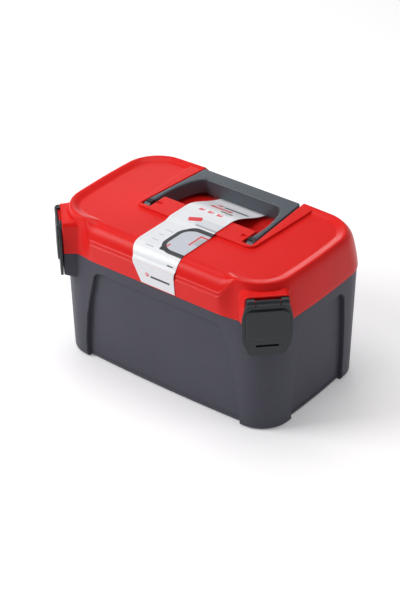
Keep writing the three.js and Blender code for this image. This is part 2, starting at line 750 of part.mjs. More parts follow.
// ---- Card sleeve: a folded strip that follows the lid's front and top, then dips into the bay ----
function cardPath(out) {
  const top = platformZ + out;
  const [seam, ...front] = frontProfile(out).reverse();
  const share = CARD.hem / (front[0][1] - seam[1]); // of the way from the seam up the front's slope
  return [
    [seam[0] + (front[0][0] - seam[0]) * share, lidZ + CARD.hem],
    ...front,
    [platformFrontY - 3, panelZ + out],
    [platformFrontY - out - 0.2, top],
    [bayFrontY + 1, top],
    [bayFrontY + 24, platformZ - 10.2 + out],
    [gripY - 21, bayFloorZ + 6.5 + out],
    [gripY - 1, bayFloorZ + CARD.aboveBay + out],
    [gripY + CARD.underGrip, bayFloorZ + CARD.aboveBay + out - 0.4],
  ];
}

// The hanging front flap narrows towards its hem; behind the lid's front edge the strip keeps its width.
function cardSleeve() {
  const strip = [...cardPath(GAP), ...cardPath(GAP + CARD.t).reverse()].reverse();
  const { half } = CARD;
  const flap = [
    [CARD_FLAP.left, lidZ],
    [CARD_FLAP.right, lidZ],
    [half, panelZ],
    [half, LID_TOP_Z],
    [-half, LID_TOP_Z],
    [-half, panelZ],
  ];
  const edgeY = ROLL.start - HALF_DEPTH;
  const front = solid(profileAlongY(flap, -2 * HALF_DEPTH, edgeY));
  const rest = solid(box(-half, half, edgeY, HALF_DEPTH, bayFloorZ, LID_TOP_Z + 2));
  return solid(profileAlongX(strip, -half, half)).intersect(front.add(rest));
}

// ---- Assembly ----
const PLASTIC = { metalness: 0, roughness: 0.5 };
const finishes = {
  grey: { ...PLASTIC, color: '#4a4c52' },
  red: { ...PLASTIC, color: '#d8302c', roughness: 0.42 },
  slate: { ...PLASTIC, color: '#4b565e' },
  charcoal: { ...PLASTIC, color: '#2e3337' },
  lightGrey: { ...PLASTIC, color: '#8b9094' },
  card: { metalness: 0, roughness: 0.6, color: '#f1f1f2' },
  steel: { metalness: 1, roughness: 0.35, color: '#a9acb0' },
};

function piece(name, manifold, finish) {
  const mesh = new THREE.Mesh(geometryOf(manifold), new THREE.MeshStandardMaterial(finish));
  mesh.name = name;
  return mesh;
}

const toolbox = new THREE.Group();
toolbox.add(piece('body_shell', bodyShell(), finishes.grey));
toolbox.add(piece('lid_shell', lidShell(), finishes.red));
toolbox.add(piece('handle', handle(), finishes.slate));
toolbox.add(piece('card_sleeve', cardSleeve(), finishes.card));
toolbox.add(piece('tray', tray(), finishes.lightGrey));
toolbox.add(piece('tray_rib', trayRib(), finishes.lightGrey));
toolbox.add(piece('tray_handle', trayHandle(), finishes.red));

for (const [name, side] of SIDES) {
  const corner = new THREE.Group();
  corner.rotation.z = (side * Math.PI) / 4;
  const seat = new THREE.Group();
  seat.position.x = side * latchShift;
  const pin = solid(rodAlongX(LATCH_PIN.r, -LATCH_PIN.half, LATCH_PIN.half, -latchPinN, latchPinZ));
  seat.add(piece(`latch_${name}`, latch(), finishes.charcoal));
  seat.add(piece(`latch_pin_${name}`, pin, finishes.steel));
  corner.add(seat);
  toolbox.add(corner);

  const hingeHalf = HINGE.lidHalf + GAP + HINGE.ear;
  const hingePin = solid(rodAlongX(HINGE.pinR, -hingeHalf, hingeHalf, 0, 0, 12));
  const hinge = piece(`hinge_pin_${name}`, hingePin, finishes.steel);
  hinge.position.set(side * hingeX, hingeY, RIM_Z);
  toolbox.add(hinge);
  toolbox.add(piece(`tray_wall_${name}`, trayWall(side), finishes.lightGrey));
  toolbox.add(piece(`tray_divider_${name}`, divider(side), finishes.lightGrey));
}

export default toolbox;
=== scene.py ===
import math

import bmesh
import bpy
from bpy.props import FloatProperty, FloatVectorProperty, PointerProperty
from mathutils import Matrix, Vector


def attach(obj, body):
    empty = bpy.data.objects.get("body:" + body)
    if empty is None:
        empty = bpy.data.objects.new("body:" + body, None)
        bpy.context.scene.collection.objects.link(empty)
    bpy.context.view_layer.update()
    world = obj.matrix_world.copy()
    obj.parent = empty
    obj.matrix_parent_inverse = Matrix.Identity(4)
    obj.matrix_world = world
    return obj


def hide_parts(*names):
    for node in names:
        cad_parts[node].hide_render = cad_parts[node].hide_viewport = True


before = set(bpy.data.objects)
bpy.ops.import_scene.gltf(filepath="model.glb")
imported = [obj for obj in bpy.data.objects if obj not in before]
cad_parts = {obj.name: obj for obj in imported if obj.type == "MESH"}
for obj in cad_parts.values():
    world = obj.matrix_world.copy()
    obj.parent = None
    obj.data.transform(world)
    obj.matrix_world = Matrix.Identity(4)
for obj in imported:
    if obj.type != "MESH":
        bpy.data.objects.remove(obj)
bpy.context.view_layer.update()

bl_info = {
    "name": "Toolbox with tray",
    "version": (1, 0, 0),
    "blender": (4, 5, 0),
    "location": "3D View > Sidebar > Toolbox",
    "description": "Builds a plastic toolbox with a hinged lid, a carry handle, latches and a lift-out tray",
    "category": "Add Mesh",
}


MM = 0.001
HALF_ROOT = math.sqrt(0.5)
SIDES = (("left", -1), ("right", 1))

# Where the lid's skin turns, on the scale that runs from 0 at the seam to 3 at the top panel
LEDGE_FOOT = 0.74
CREST_END = 1.2

# Sizes that several pieces share
PIN_BORE = 2.1 * MM
LATCH_STUB = 24 * MM
HINGE_STUB = 22.4 * MM
INSERT_GAP = 0.4 * MM
DIVIDER_THICK = 1.8 * MM
CARD_LIFT = 0.45 * MM


# ---- Sizes and colours that a user would change ----
def length(name, millimetres, description):
    return FloatProperty(name=name, description=description, default=millimetres * MM, unit="LENGTH",
                         precision=4)


def share(name, value, description):
    return FloatProperty(name=name, description=description, default=value, min=0.0, max=1.0,
                         subtype="FACTOR")


def colour(name, value, description):
    return FloatVectorProperty(name=name, description=description, default=value, size=3, subtype="COLOR",
                               min=0.0, max=1.0)


class BodySizes(bpy.types.PropertyGroup):
    half_length: length("Half length", 183.5, "Half the body's length at the rim, before the sides bow")
    half_depth: length("Half depth", 112.5, "Half the body's depth at the rim, before the sides bow")
    rim_z: length("Rim height", 169.0, "Height of the seam between body and lid")
    draft: length("Draft", 5.8, "How much the body narrows from rim to floor on each side")
    corner_r: length("Corner radius", 48.0, "Radius of the corners at the rim")
    foot_r: length("Foot radius", 38.0, "Radius of the corners at the floor")
    edge_r: length("Bottom edge radius", 5.0, "Round of the body's bottom edge")
    foot_lift: length("Foot height", 2.4, "How far the four corner feet stand below the rest")
    wall: length("Wall", 2.3, "Thickness of the body's and the lid's walls")
    gap: length("Gap", 0.4, "Clearance between pieces that face each other")
    bow_x: share("End bow", 0.027, "How far the short sides bulge, as a share of the half length")
    bow_y: share("Front bow", 0.053, "How far the long sides bulge, as a share of the half depth")
    panel_depth: length("Panel depth", 6.0, "How far the front, back and end panels are set in")
    panel_drop: length("Panel drop", 17.0, "From the rim down to the top of the set-in panels")
    panel_r: length("Panel radius", 16.0, "Radius of the panels' top corners")
    front_column: length("Front column", 50.5, "Width left beside the front panel at the floor")
    side_column: length("Side column", 53.5, "Width left beside an end panel at the floor")
    front_flare: length("Front flare", 22.0, "How much narrower the front panel is at its top")
    side_flare: length("Side flare", 9.0, "How much narrower an end panel is at its top")
    lip_h: length("Lip height", 3.0, "How far the inner lip stands above the rim")
    lip_t: length("Lip thickness", 1.6, "Thickness of the inner lip")
    bead: length("Bead", 0.7, "Radius of the bead along the foot of each panel")


class LidSizes(bpy.types.PropertyGroup):
    height: length("Height", 58.6, "From the seam to the crest")
    overhang: length("Overhang", 0.8, "How far the lid stands past the body at the seam")
    dish: length("Dish", 3.6, "How far the top panel lies below the crest")
    rim_w: length("Rim band", 12.5, "Width of the band that slopes from the crest to the panel")
    crest_w: length("Crest", 3.0, "Width of the crest")
    lean_x: length("End lean", 7.5, "How far the ends lean in from seam to crest")
    lean_front: length("Front lean", 4.0, "How far the front leans in")
    lean_back: length("Back lean", 18.0, "How far the back leans in")
    ledge_drop: length("Ledge drop", 22.6, "From the crest down to the ledge along the front")
    ledge_h: length("Ledge height", 6.0, "Height of the ledge's face")
    ledge_past: length("Ledge reach", 9.7, "How far the ledge stands past the half depth")
    ledge_from_end: length("Ledge end", 69.5, "From the half length in to the end of the ledge")
    ledge_step: length("Ledge step", 1.4, "Width of each of the two small steps along the front")
    shoulder: length("Shoulder", 24.0, "Length over which the front rises to the corner shoulders")
    roll: length("Roll", 12.0, "How far back the rolled front edge begins")
    roll_nose: length("Roll nose", 3.0, "How far the rolled edge reaches past the half depth")
    platform_h: length("Platform height", 3.2, "Height of the raised field round the handle")
    platform_r: length("Platform radius", 11.0, "Radius of the raised field's front corners")


class HandleSizes(bpy.types.PropertyGroup):
    height: length("Height", 21.5, "Depth of the handle from top to underside")
    proud: length("Proud", 0.4, "How far the handle stands above the crest when folded")
    from_back: length("From back", 17.5, "From the half depth in to the back of the grip")
    grip: length("Grip", 24.0, "Width of the grip")
    back_half: length("Half width at the grip", 82.0, "Half the handle's width at its back")
    leg_half: length("Half width at the pivots", 91.0, "Half the handle's width at the pivots")
    leg_inner: length("Half opening", 79.0, "Half the width of the finger opening at the pivots")
    length: length("Length", 115.0, "From the pivot to the back of the grip")
    clear: length("Clearance", 1.6, "Room left round the handle in its bay")
    under: length("Bay depth", 6.0, "From the handle's underside to the floor of its bay")
    edge_r: length("Edge round", 2.4, "Radius of the handle's top edges")


class LatchSizes(bpy.types.PropertyGroup):
    proud: length("Proud", 15.6, "How far the latch's face stands past the body's corner")
    off: length("Offset", 2.7, "How far the latch sits from the corner's middle")
    below_top: length("Below the crest", 13.1, "From the lid's crest down to the top of the latch")
    below_rim: length("Below the seam", 38.0, "From the seam down to the end of the latch")
    thick: length("Thickness", 4.0, "Thickness of the latch's plate")
    pad: length("Pad", 2.8, "How far the cushioned pad stands out")
    half: length("Half width", 33.0, "Half the latch's greatest width")
    pin_r: length("Pin radius", 1.8, "Radius of the latch's pin")
    pin_in: length("Pin inset", 5.5, "From the latch's face and top in to the pin")


class TraySizes(bpy.types.PropertyGroup):
    depth: length("Depth", 44.0, "Depth of the tray")
    flange: length("Flange", 3.6, "Thickness of the tray's flange")
    wall: length("Wall", 2.0, "Thickness of the tray's walls")
    clear: length("Clearance", 1.6, "Room left round the tray")
    draft: length("Draft", 4.0, "How much the tray narrows towards its floor")
    end_bin: length("End bin", 87.5, "From the half length in to a cross wall")
    rib_y: length("Rib", 13.0, "From the middle to each wall of the lengthwise rib")
    handle_half: length("Handle half width", 62.0, "Half the width of the tray's handle")
    bracket_reach: length("Bracket reach", 9.0, "How far the brackets under the tray stand out from the wall")


class CardSizes(bpy.types.PropertyGroup):
    half: length("Half width", 38.0, "Half the width of the card sleeve")
    thick: length("Thickness", 0.6, "Thickness of the card")
    hem: length("Hem", 2.5, "How far the sleeve ends above the seam")
    hem_left: length("Hem left", -20.0, "Left end of the front flap's hem")
    hem_right: length("Hem right", 35.0, "Right end of the front flap's hem")


class Finishes(bpy.types.PropertyGroup):
    lid_red: colour("Lid red", (0.70, 0.012, 0.010), "The lid's satin red plastic")
    body_grey: colour("Body grey", (0.070, 0.070, 0.090), "The body's dark grey plastic")
    handle_slate: colour("Handle slate", (0.066, 0.080, 0.096), "The handle's blue-grey plastic")
    latch_charcoal: colour("Latch charcoal", (0.019, 0.024, 0.029), "The latches' charcoal plastic")
    tray_grey: colour("Tray grey", (0.24, 0.25, 0.26), "The tray's light grey plastic")
    card_white: colour("Card white", (0.74, 0.75, 0.78), "The sleeve's coated card")
    print_red: colour("Print red", (0.68, 0.025, 0.035), "The red of the sleeve's print")
    steel: colour("Steel", (0.52, 0.53, 0.55), "The hinge and latch pins")


GROUPS = {
    "toolbox_body": BodySizes,
    "toolbox_lid": LidSizes,
    "toolbox_handle": HandleSizes,
    "toolbox_latch": LatchSizes,
    "toolbox_tray": TraySizes,
    "toolbox_card": CardSizes,
    "toolbox_finishes": Finishes,
}


def sizes(group):
    return getattr(bpy.context.scene, "toolbox_" + group)


# ---- Meshes ----
def new_object(name, points, faces):
    mesh = bpy.data.meshes.new(name)
    mesh.from_pydata(points, [], faces)
    mesh.validate()
    piece = bpy.data.objects.new(name, mesh)
    bpy.context.scene.collection.objects.link(piece)
    return piece


def loft(name, rings, closed=False):
    """A closed solid through rings of equal point count; closed joins the last ring to the first."""
    count = len(rings[0])
    points = [point for ring in rings for point in ring]
    faces = []
    for row in range(len(rings) if closed else len(rings) - 1):
        low = row * count
        high = (row + 1) % len(rings) * count
        for k in range(count):
            after = (k + 1) % count
            faces.append((low + k, low + after, high + after, high + k))
    if not closed:
        last = (len(rings) - 1) * count
        faces.append(tuple(reversed(range(count))))
        faces.append(tuple(range(last, last + count)))
    return new_object(name, points, faces)


def extrude(name, outline, low, high, plane="XY"):
    """A straight solid: an outline in a plane, run from low to high across it."""
    def place(a, b, across):
        return {"XY": (a, b, across), "YZ": (across, a, b), "XZ": (a, across, b)}[plane]
    rings = [[place(a, b, across) for a, b in outline] for across in (low, high)]
    return outward(loft(name, rings))


def block(name, x, y, z):
    return extrude(name, [(x[0], y[0]), (x[1], y[0]), (x[1], y[1]), (x[0], y[1])], z[0], z[1])


def rod(name, radius, x, y, z, sides=32):
    outline = [(y + a, z + b) for a, b in arc(0, 0, radius, 0, 360, sides)[:-1]]
    return extrude(name, outline, x[0], x[1], "YZ")


def outward(piece):
    sheet = bmesh.new()
    sheet.from_mesh(piece.data)
    bmesh.ops.recalc_face_normals(sheet, faces=sheet.faces)
    sheet.to_mesh(piece.data)
    sheet.free()
    return piece


def arc(x, y, radius, start, end, steps):
    angles = (math.radians(start + (end - start) * k / steps) for k in range(steps + 1))
    return [(x + radius * math.cos(a), y + radius * math.sin(a)) for a in angles]


def mirrored(right):
    """A closed outline from its right half, listed from the front round to the back."""
    return right + [(-x, y) for x, y in reversed(right)]


def rounded_rectangle(x, y, radius, steps=8):
    corners = ((x[1] - radius, y[0] + radius, -90), (x[1] - radius, y[1] - radius, 0),
               (x[0] + radius, y[1] - radius, 90), (x[0] + radius, y[0] + radius, 180))
    return [point for cx, cy, start in corners for point in arc(cx, cy, radius, start, start + 90, steps)]


def settle(piece):
    """Turns a piece's modifiers into its plain mesh."""
    graph = bpy.context.evaluated_depsgraph_get()
    mesh = bpy.data.meshes.new_from_object(piece.evaluated_get(graph))
    before = piece.data
    piece.modifiers.clear()
    piece.data = mesh
    bpy.data.meshes.remove(before)
    return piece


def combine(piece, operation, others):
    for other in others:
        cut = piece.modifiers.new("cut", "BOOLEAN")
        cut.operation = operation
        cut.solver = "EXACT"
        cut.object = other
        settle(piece)
        discard(other)
    return piece


def add(piece, *others):
    return combine(piece, "UNION", others)


def cut(piece, *others):
    return combine(piece, "DIFFERENCE", others)


def keep(piece, *others):
    return combine(piece, "INTERSECT", others)


def discard(piece):
    mesh = piece.data
    bpy.data.objects.remove(piece)
    bpy.data.meshes.remove(mesh)


def merged(piece, *others):
    """Puts the meshes of several pieces into one, without cutting them together."""
    sheet = bmesh.new()
    for one in (piece, *others):
        sheet.from_mesh(one.data)
    sheet.to_mesh(piece.data)
    sheet.free()
    for other in others:
        discard(other)
    return piece


def sharp_edges(sheet, angle, where):
    limit = math.radians(angle)
    edges = [edge for edge in sheet.edges if len(edge.link_faces) == 2 and edge.calc_face_angle(0) > limit]
    return [edge for edge in edges if not where or where((edge.verts[0].co + edge.verts[1].co) / 2)]


def rounded(piece, width, segments=3, angle=30, where=None, join=None):
    """Rounds the edges that are sharper than an angle, and that where, if given, picks by their middle.

    Without join the round is held back by the shortest edge; with it, shorter edges are first joined up."""
    sheet = bmesh.new()
    sheet.from_mesh(piece.data)
    bmesh.ops.remove_doubles(sheet, verts=sheet.verts, dist=0.02 * MM)
    edges = sharp_edges(sheet, angle, where)
    if join:
        corners = list({corner for edge in edges for corner in edge.verts})
        bmesh.ops.remove_doubles(sheet, verts=corners, dist=join)
        edges = sharp_edges(sheet, angle, where)
    bmesh.ops.bevel(sheet, geom=edges, offset=width, offset_type="OFFSET", segments=segments, profile=0.5,
                    affect="EDGES", clamp_overlap=not join)
    sheet.to_mesh(piece.data)
    sheet.free()
    return piece


def turned_to_corner(piece, side):
    """Moves a mesh from a latch's own axes, -Y outwards, to the body's corner."""
    turn = Matrix.Rotation(side * math.pi / 4, 4, "Z")
    piece.data.transform(turn @ Matrix.Translation((side * places()["latch_shift"], 0, 0)))
    return piece


def finished(piece, name, body, material, replaces=(), sharp=35):
    """Names and shades a piece, gives it its material and says what it rides on and stands for."""
    piece.name = name
    piece.data.validate()
    piece.data.materials.clear()
    piece.data.materials.append(material)
    for face in piece.data.polygons:
        face.use_smooth = True
        face.material_index = 0
    piece.data.set_sharp_from_angle(angle=math.radians(sharp))
    smooth = piece.modifiers.new("even shading", "WEIGHTED_NORMAL")
    smooth.keep_sharp = True
    smooth.weight = 60
    settle(piece)
    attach(piece, body)
    if replaces:
        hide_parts(*replaces)
    return piece


# ---- Places that several pieces share ----
def places():
    """Places and heights that several pieces share, worked out from the sizes."""
    body, lid, handle, latch, tray = (sizes(name) for name in ("body", "lid", "handle", "latch", "tray"))
    at = {}
    at["top"] = body.rim_z + lid.height
    at["lid_z"] = body.rim_z + body.gap
    at["panel_z"] = at["top"] - lid.dish
    at["platform_z"] = at["panel_z"] + lid.platform_h
    at["ledge_z"] = at["top"] - lid.ledge_drop
    at["ledge_y"] = body.half_depth + lid.ledge_past
    at["ledge_half"] = body.half_length - lid.ledge_from_end
    at["seam_y"] = body.half_depth * (1 + body.bow_y) + lid.overhang
    at["body_panel_z"] = body.rim_z - body.panel_drop
    corner = (body.half_length + body.half_depth - 2 * body.corner_r) * HALF_ROOT + body.corner_r
    at["latch_face"] = corner + latch.proud
    at["latch_shift"] = (body.half_length - body.half_depth) * HALF_ROOT - latch.off
    at["latch_top"] = at["top"] - latch.below_top
    at["latch_bottom"] = body.rim_z - latch.below_rim
    at["latch_inner"] = at["latch_face"] - latch.pad - latch.thick
    at["pin_n"] = at["latch_face"] - latch.pin_in
    at["pin_z"] = at["latch_top"] - latch.pin_in
    at["hinge_r"] = 6.5 * MM
    latch_reach = at["latch_face"] - latch.pad - at["latch_shift"] + latch.half
    at["hinge_y"] = latch_reach * HALF_ROOT - at["hinge_r"]
    at["hinge_x"] = body.half_length - 75.5 * MM
    at["handle_top"] = at["top"] + handle.proud
    at["handle_low"] = at["handle_top"] - handle.height
    at["back_y"] = body.half_depth - handle.from_back
    at["grip_y"] = at["back_y"] - handle.grip
    at["pivot_y"] = at["back_y"] - handle.length
    at["pivot_z"] = at["handle_top"] - handle.height / 2
    at["bay_z"] = at["handle_low"] - handle.under
    at["bay_y"] = at["pivot_y"] + 20 * MM
    at["platform_y"] = at["pivot_y"] - 18 * MM
    at["rest_z"] = at["body_panel_z"] + body.wall
    at["tray_top"] = at["rest_z"] + body.gap + tray.flange
    at["tray_low"] = at["tray_top"] - tray.depth
    at["tray_inset"] = body.panel_depth + body.wall + tray.bracket_reach + tray.clear
    at["insert_x"] = body.half_length - tray.end_bin
    at["insert_top"] = at["tray_top"] - 2 * MM
    return at


def bowed_outline(x, front, back, r_front, r_back, inset=0.0, detail=1.0):
    """A rounded rectangle seen from above, with sides that bow outwards, in from its full size by inset."""
    body = sizes("body")
    half, to_front, to_back = x - inset, front - inset, back - inset
    rf, rb = max(r_front - inset, MM), max(r_back - inset, MM)
    turns = int(14 * detail)
    side_steps, front_steps = int(20 * detail), int(84 * detail)
    corners = (
        arc(half - rf, rf - to_front, rf, -90, 0, turns),
        arc(half - rb, to_back - rb, rb, 0, 90, turns),
        arc(rb - half, to_back - rb, rb, 90, 180, turns),
        arc(rf - half, rf - to_front, rf, 180, 270, turns),
    )
    points = []
    for k, corner in enumerate(corners):
        steps = (side_steps, front_steps)[k % 2]
        (ax, ay), (bx, by) = corner[-1], corners[(k + 1) % 4][0]
        points += corner
        points += [(ax + (bx - ax) * n / steps, ay + (by - ay) * n / steps) for n in range(1, steps)]
    bowed = []
    for px, py in points:
        depth = to_front if py < 0 else to_back
        bowed.append((px * (1 + body.bow_x * (1 - (py / depth) ** 2)),
                      py * (1 + body.bow_y * (1 - (px / half) ** 2))))
    return bowed


def body_outline(z, inset=0.0, detail=1.0):
    body = sizes("body")
    lean = body.draft * (1 - z / body.rim_z)
    radius = body.foot_r + (body.corner_r - body.foot_r) * z / body.rim_z
    front = body.half_depth - lean
    return bowed_outline(body.half_length - lean, front, front, radius, radius, inset, detail)


def body_loft(name, levels, detail=1.0):
    rings = [[(x, y, z) for x, y in body_outline(z, inset, detail)] for z, inset in levels]
    return outward(loft(name, rings))


def lid_outline(lean, inset=0.0, detail=1.0):
    body, lid = sizes("body"), sizes("lid")
    radius = body.corner_r - 2 * MM * lean
    return bowed_outline(
        body.half_length + lid.overhang - lid.lean_x * lean,
        body.half_depth + lid.overhang - lid.lean_front * lean,
        body.half_depth + lid.overhang / 2 - lid.lean_back * lean,
        radius, radius, inset, detail)


# ---- Body ----
def panel_outline(foot, flare, grow):
    body, at = sizes("body"), places()
    radius = body.panel_r + grow
    corner_z = at["body_panel_z"] + grow - radius
    edge = [(foot + grow - flare * (k / 12) ** 2, corner_z * k / 12) for k in range(12)]
    right = edge + arc(foot + grow - flare - radius, corner_z, radius, 0, 90, 12)
    return mirrored([(foot + grow, -body.edge_r)] + right)


def panel_blocks(grow, depth, low=-6 * MM):
    """The space of the set-in panels on the front, back and both ends, down to a depth."""
    body = sizes("body")
    reach = 2 * body.half_length
    front = panel_outline(body.half_length - body.front_column, body.front_flare, grow)
    side = panel_outline(body.half_depth - body.side_column, body.side_flare, grow)
    across = extrude("across", side, -reach, reach, "YZ")
    both = add(extrude("along", front, -reach, reach, "XZ"), across)
    return cut(both, body_loft("core", [(low, depth), (body.rim_z + 10 * MM, depth)]))


def depth_inside(point):
    """Roughly how far a point lies inside the body's outline at its own height."""
    body = sizes("body")
    lean = body.draft * (1 - point.z / body.rim_z)
    half, deep = body.half_length - lean, body.half_depth - lean
    to_end = half * (1 + body.bow_x * (1 - (point.y / deep) ** 2)) - abs(point.x)
    to_side = deep * (1 + body.bow_y * (1 - (point.x / half) ** 2)) - abs(point.y)
    return min(to_end, to_side)


def body_outer():
    body = sizes("body")
    r = body.edge_r
    edge = [(z, inset) for inset, z in arc(r, r, r, 270, 180, 8)]
    rim = [(body.rim_z * 0.5, 0), (body.rim_z - 0.6 * MM, 0), (body.rim_z, 0.5 * MM)]
    full = cut(body_loft("body", edge + rim, 0.5), panel_blocks(0, body.panel_depth))
    edge_round, shortest, above_feet = 1.4 * MM, 1.2 * MM, 9 * MM

    def on_skin(middle):
        return body.rim_z - MM > middle.z > above_feet and depth_inside(middle) < 1.2 * MM
    return rounded(full, edge_round, 3, 50, on_skin, shortest)


def body_hollow():
    body = sizes("body")
    low = 3 * MM + body.foot_lift
    band = body.rim_z - 9 * MM
    band_inset = body.wall + body.gap + body.lip_t
    levels = [
        (low, body.edge_r + body.wall),
        (low + MM, body.wall + 4.4 * MM),
        (low + 3 * MM, body.wall + 2 * MM),
        (low + body.edge_r, body.wall),
        (band - 3 * MM, body.wall),
        (band, band_inset),
        (body.rim_z + body.lip_h + 2 * MM, band_inset),
    ]
    return cut(body_loft("hollow", levels), panel_blocks(body.wall, body.panel_depth + body.wall))


def rim_lip():
    """The lip that stands inside the lid; it is solid until the hollow is cut."""
    body = sizes("body")
    outside = body.wall + body.gap
    top = body.rim_z + body.lip_h
    levels = [(body.rim_z - 5 * MM, outside), (top - 0.5 * MM, outside), (top, outside + 0.4 * MM)]
    return body_loft("lip", levels)


def tray_brackets():
    body, tray, at = sizes("body"), sizes("tray"), places()
    low, high = at["rest_z"] - 8 * MM, at["rest_z"]
    half = 11 * MM
    wide, deep = body.half_length, body.half_depth
    pitch = wide - 99.5 * MM
    rows = [block("bracket", (k * pitch - half, k * pitch + half), (-deep, deep), (low, high))
            for k in (-1, 0, 1)]
    ends = block("bracket", (-wide, wide), (-half, half), (low, high))
    reach = body.panel_depth + body.wall + tray.bracket_reach
    clear = body_loft("clear", [(low - MM, reach), (high + MM, reach)])
    limit = body_loft("limit", [(low - MM, body.panel_depth + MM), (high + MM, body.panel_depth + MM)])
    return keep(cut(add(ends, *rows), clear), limit)


def catch_block(side):
    """The grey block on the body's corner that a latch hooks over."""
    body, at = sizes("body"), places()
    half, deep, slope, standoff = 27 * MM, 26 * MM, 9 * MM, 0.7 * MM
    face = at["latch_inner"] - standoff
    bottom, top = at["latch_bottom"] + 3 * MM, body.rim_z - body.gap
    root = deep - face
    outline = [(root, bottom - slope), (-face, bottom), (-face, top), (root, top)]
    piece = extrude("catch", outline, -half, half, "YZ")
    return turned_to_corner(rounded(piece, 1.6 * MM), side)


def knuckle(x, foot):
    at = places()
    barrel = rod("barrel", at["hinge_r"], x, at["hinge_y"], sizes("body").rim_z)
    return rounded(add(barrel, extrude("knuckle foot", foot, x[0], x[1], "YZ")), 0.5 * MM, 2)


def body_knuckles():
    body, at = sizes("body"), places()
    r, y, z = at["hinge_r"], at["hinge_y"], body.rim_z
    wide, inner = 14 * MM, 8.4 * MM
    foot = [
        (body.half_depth, z - 26 * MM),
        (y + r * 0.6, z - r * 0.8),
        (y, z),
        (body.half_depth, z - body.gap),
    ]
    starts = [side * at["hinge_x"] + step for _, side in SIDES for step in (-HINGE_STUB, inner)]
    return [knuckle((x, x + wide), foot) for x in starts]


def hinge_bore():
    at = places()
    reach = at["hinge_x"] + HINGE_STUB + MM
    return rod("bore", PIN_BORE, (-reach, reach), at["hinge_y"], sizes("body").rim_z, 20)


def make_body():
    body = sizes("body")
    shell = add(body_outer(), catch_block(-1), catch_block(1), rim_lip(), *body_knuckles())
    reach = 2 * body.half_length
    foot_x = body.half_length - body.front_column
    foot_y = body.half_depth - body.side_column
    lift = (-MM, body.foot_lift)
    shell = cut(shell, body_hollow(), block("under", (-foot_x, foot_x), (-reach, reach), lift),
                block("under", (-reach, reach), (-foot_y, foot_y), lift))
    return cut(add(shell, tray_brackets()), hinge_bore())


# ---- Lid ----
def eased(t):
    t = min(max(t, 0.0), 1.0)
    return t * t * (3 - 2 * t)


def corner_profile(q):
    """Height, lean and inset of the lid's skin at the corners and ends.

    q runs from 0 at the seam to LEDGE_FOOT at the wall's top, 2 at the crest's inside and 3 at the panel."""
    lid, at = sizes("lid"), places()
    straight = sizes("body").rim_z + 4 * MM
    crest_r = 1.6 * MM
    wall_top = at["top"] - crest_r
    if q > 2:
        return at["top"] - lid.dish * eased(q - 2), 1.0, lid.crest_w + lid.rim_w * (q - 2)
    z = at["lid_z"] + (wall_top - at["lid_z"]) * min(q / LEDGE_FOOT, 1.0)
    t = max((z - straight) / (wall_top - straight), 0.0)
    lean = 0.62 * t ** 1.15 + 0.38 * t ** 8
    turn = math.radians(90 * min(max((q - LEDGE_FOOT) / (CREST_END - LEDGE_FOOT), 0.0), 1.0))
    flat = max(q - CREST_END, 0.0) / (2 - CREST_END)
    inset = lid.crest_w * (0.66 * (1 - math.cos(turn)) + 0.34 * flat)
    return z + crest_r * math.sin(turn), lean, inset


def front_profile(q):
    """Distance forward and height of the lid's skin along the middle of the front, for the same q."""
    body, lid, at = sizes("body"), sizes("lid"), places()
    top, ledge, face = at["panel_z"], at["ledge_z"], at["ledge_y"]
    below = ledge - lid.ledge_h
    step = lid.ledge_step
    stops = [
        (0.0, at["seam_y"], at["lid_z"]),
        (LEDGE_FOOT, face + step, below - step),
        (0.83, face + 0.1 * MM, below + 0.3 * MM),
        (0.92, face, ledge - step),
        (1.0, face - step, ledge + 0.3 * MM),
    ]
    if q <= 1:
        k = next(n for n in range(1, len(stops)) if q <= stops[n][0])
        t = (q - stops[k - 1][0]) / (stops[k][0] - stops[k - 1][0])
        return tuple(low + (high - low) * t for low, high in zip(stops[k - 1][1:], stops[k][1:]))
    start = stops[-1][1:]
    bend = (body.half_depth + lid.roll_nose, top + 0.3 * MM)
    end = (body.half_depth - lid.roll, top)
    if q <= 2:
        t = q - 1
        return tuple((1 - t) ** 2 * a + 2 * t * (1 - t) * b + t * t * c for a, b, c in zip(start, bend, end))
    return end[0] - 4 * MM * (q - 2), top


def skin_stations():
    """Where the lid's skin has its rings: closer together at the ledge and the crest."""
    seam = [0.0, 0.012]
    wall = [0.1, 0.2, 0.3, 0.4, 0.5, 0.57, 0.62, 0.66, 0.69, 0.715]
    ledge = [LEDGE_FOOT, 0.77, 0.80, 0.83, 0.86, 0.89, 0.92, 0.96]
    upper = [1 + k / 12 for k in range(10)]
    crest = [1.8, 1.85, 1.9, 1.95]
    band = [2 + k / 10 for k in range(11)]
    return seam + wall + ledge + upper + crest + band


def lid_ring(q):
    body, lid, at = sizes("body"), sizes("lid"), places()
    z, lean, inset = corner_profile(q)
    forward, front_z = front_profile(q)
    seam_round = 0.5 * MM if q == 0 else 0.0
    ring = []
    for x, y in lid_outline(lean, inset + seam_round):
        side = (abs(x) - at["ledge_half"]) / lid.shoulder + 0.35
        amount = 1 - eased(side) if y < -body.half_depth * 0.5 else 0.0
        ring.append((x, y + (seam_round - forward - y) * amount, z + (front_z - z) * amount))
    return ring


def lid_hollow():
    """The room inside the lid, kept clear of its skin; the bay's walls are taken out of it later."""
    body, at = sizes("body"), places()
    wall = body.wall
    levels = (
        (at["lid_z"] - MM, 0, wall),
        (body.rim_z + 4 * MM, 0, wall),
        (at["ledge_z"] - 5 * MM, 0.3, wall),
        (at["panel_z"] - 12 * MM, 0.55, wall + 3 * MM),
        (at["panel_z"] - 5 * MM, 0.85, wall + 6 * MM),
        (at["panel_z"] - wall, 1, wall + 10 * MM),
    )
    rings = [[(x, y, z) for x, y in lid_outline(lean, inset, 0.5)] for z, lean, inset in levels]
    return outward(loft("lid hollow", rings))


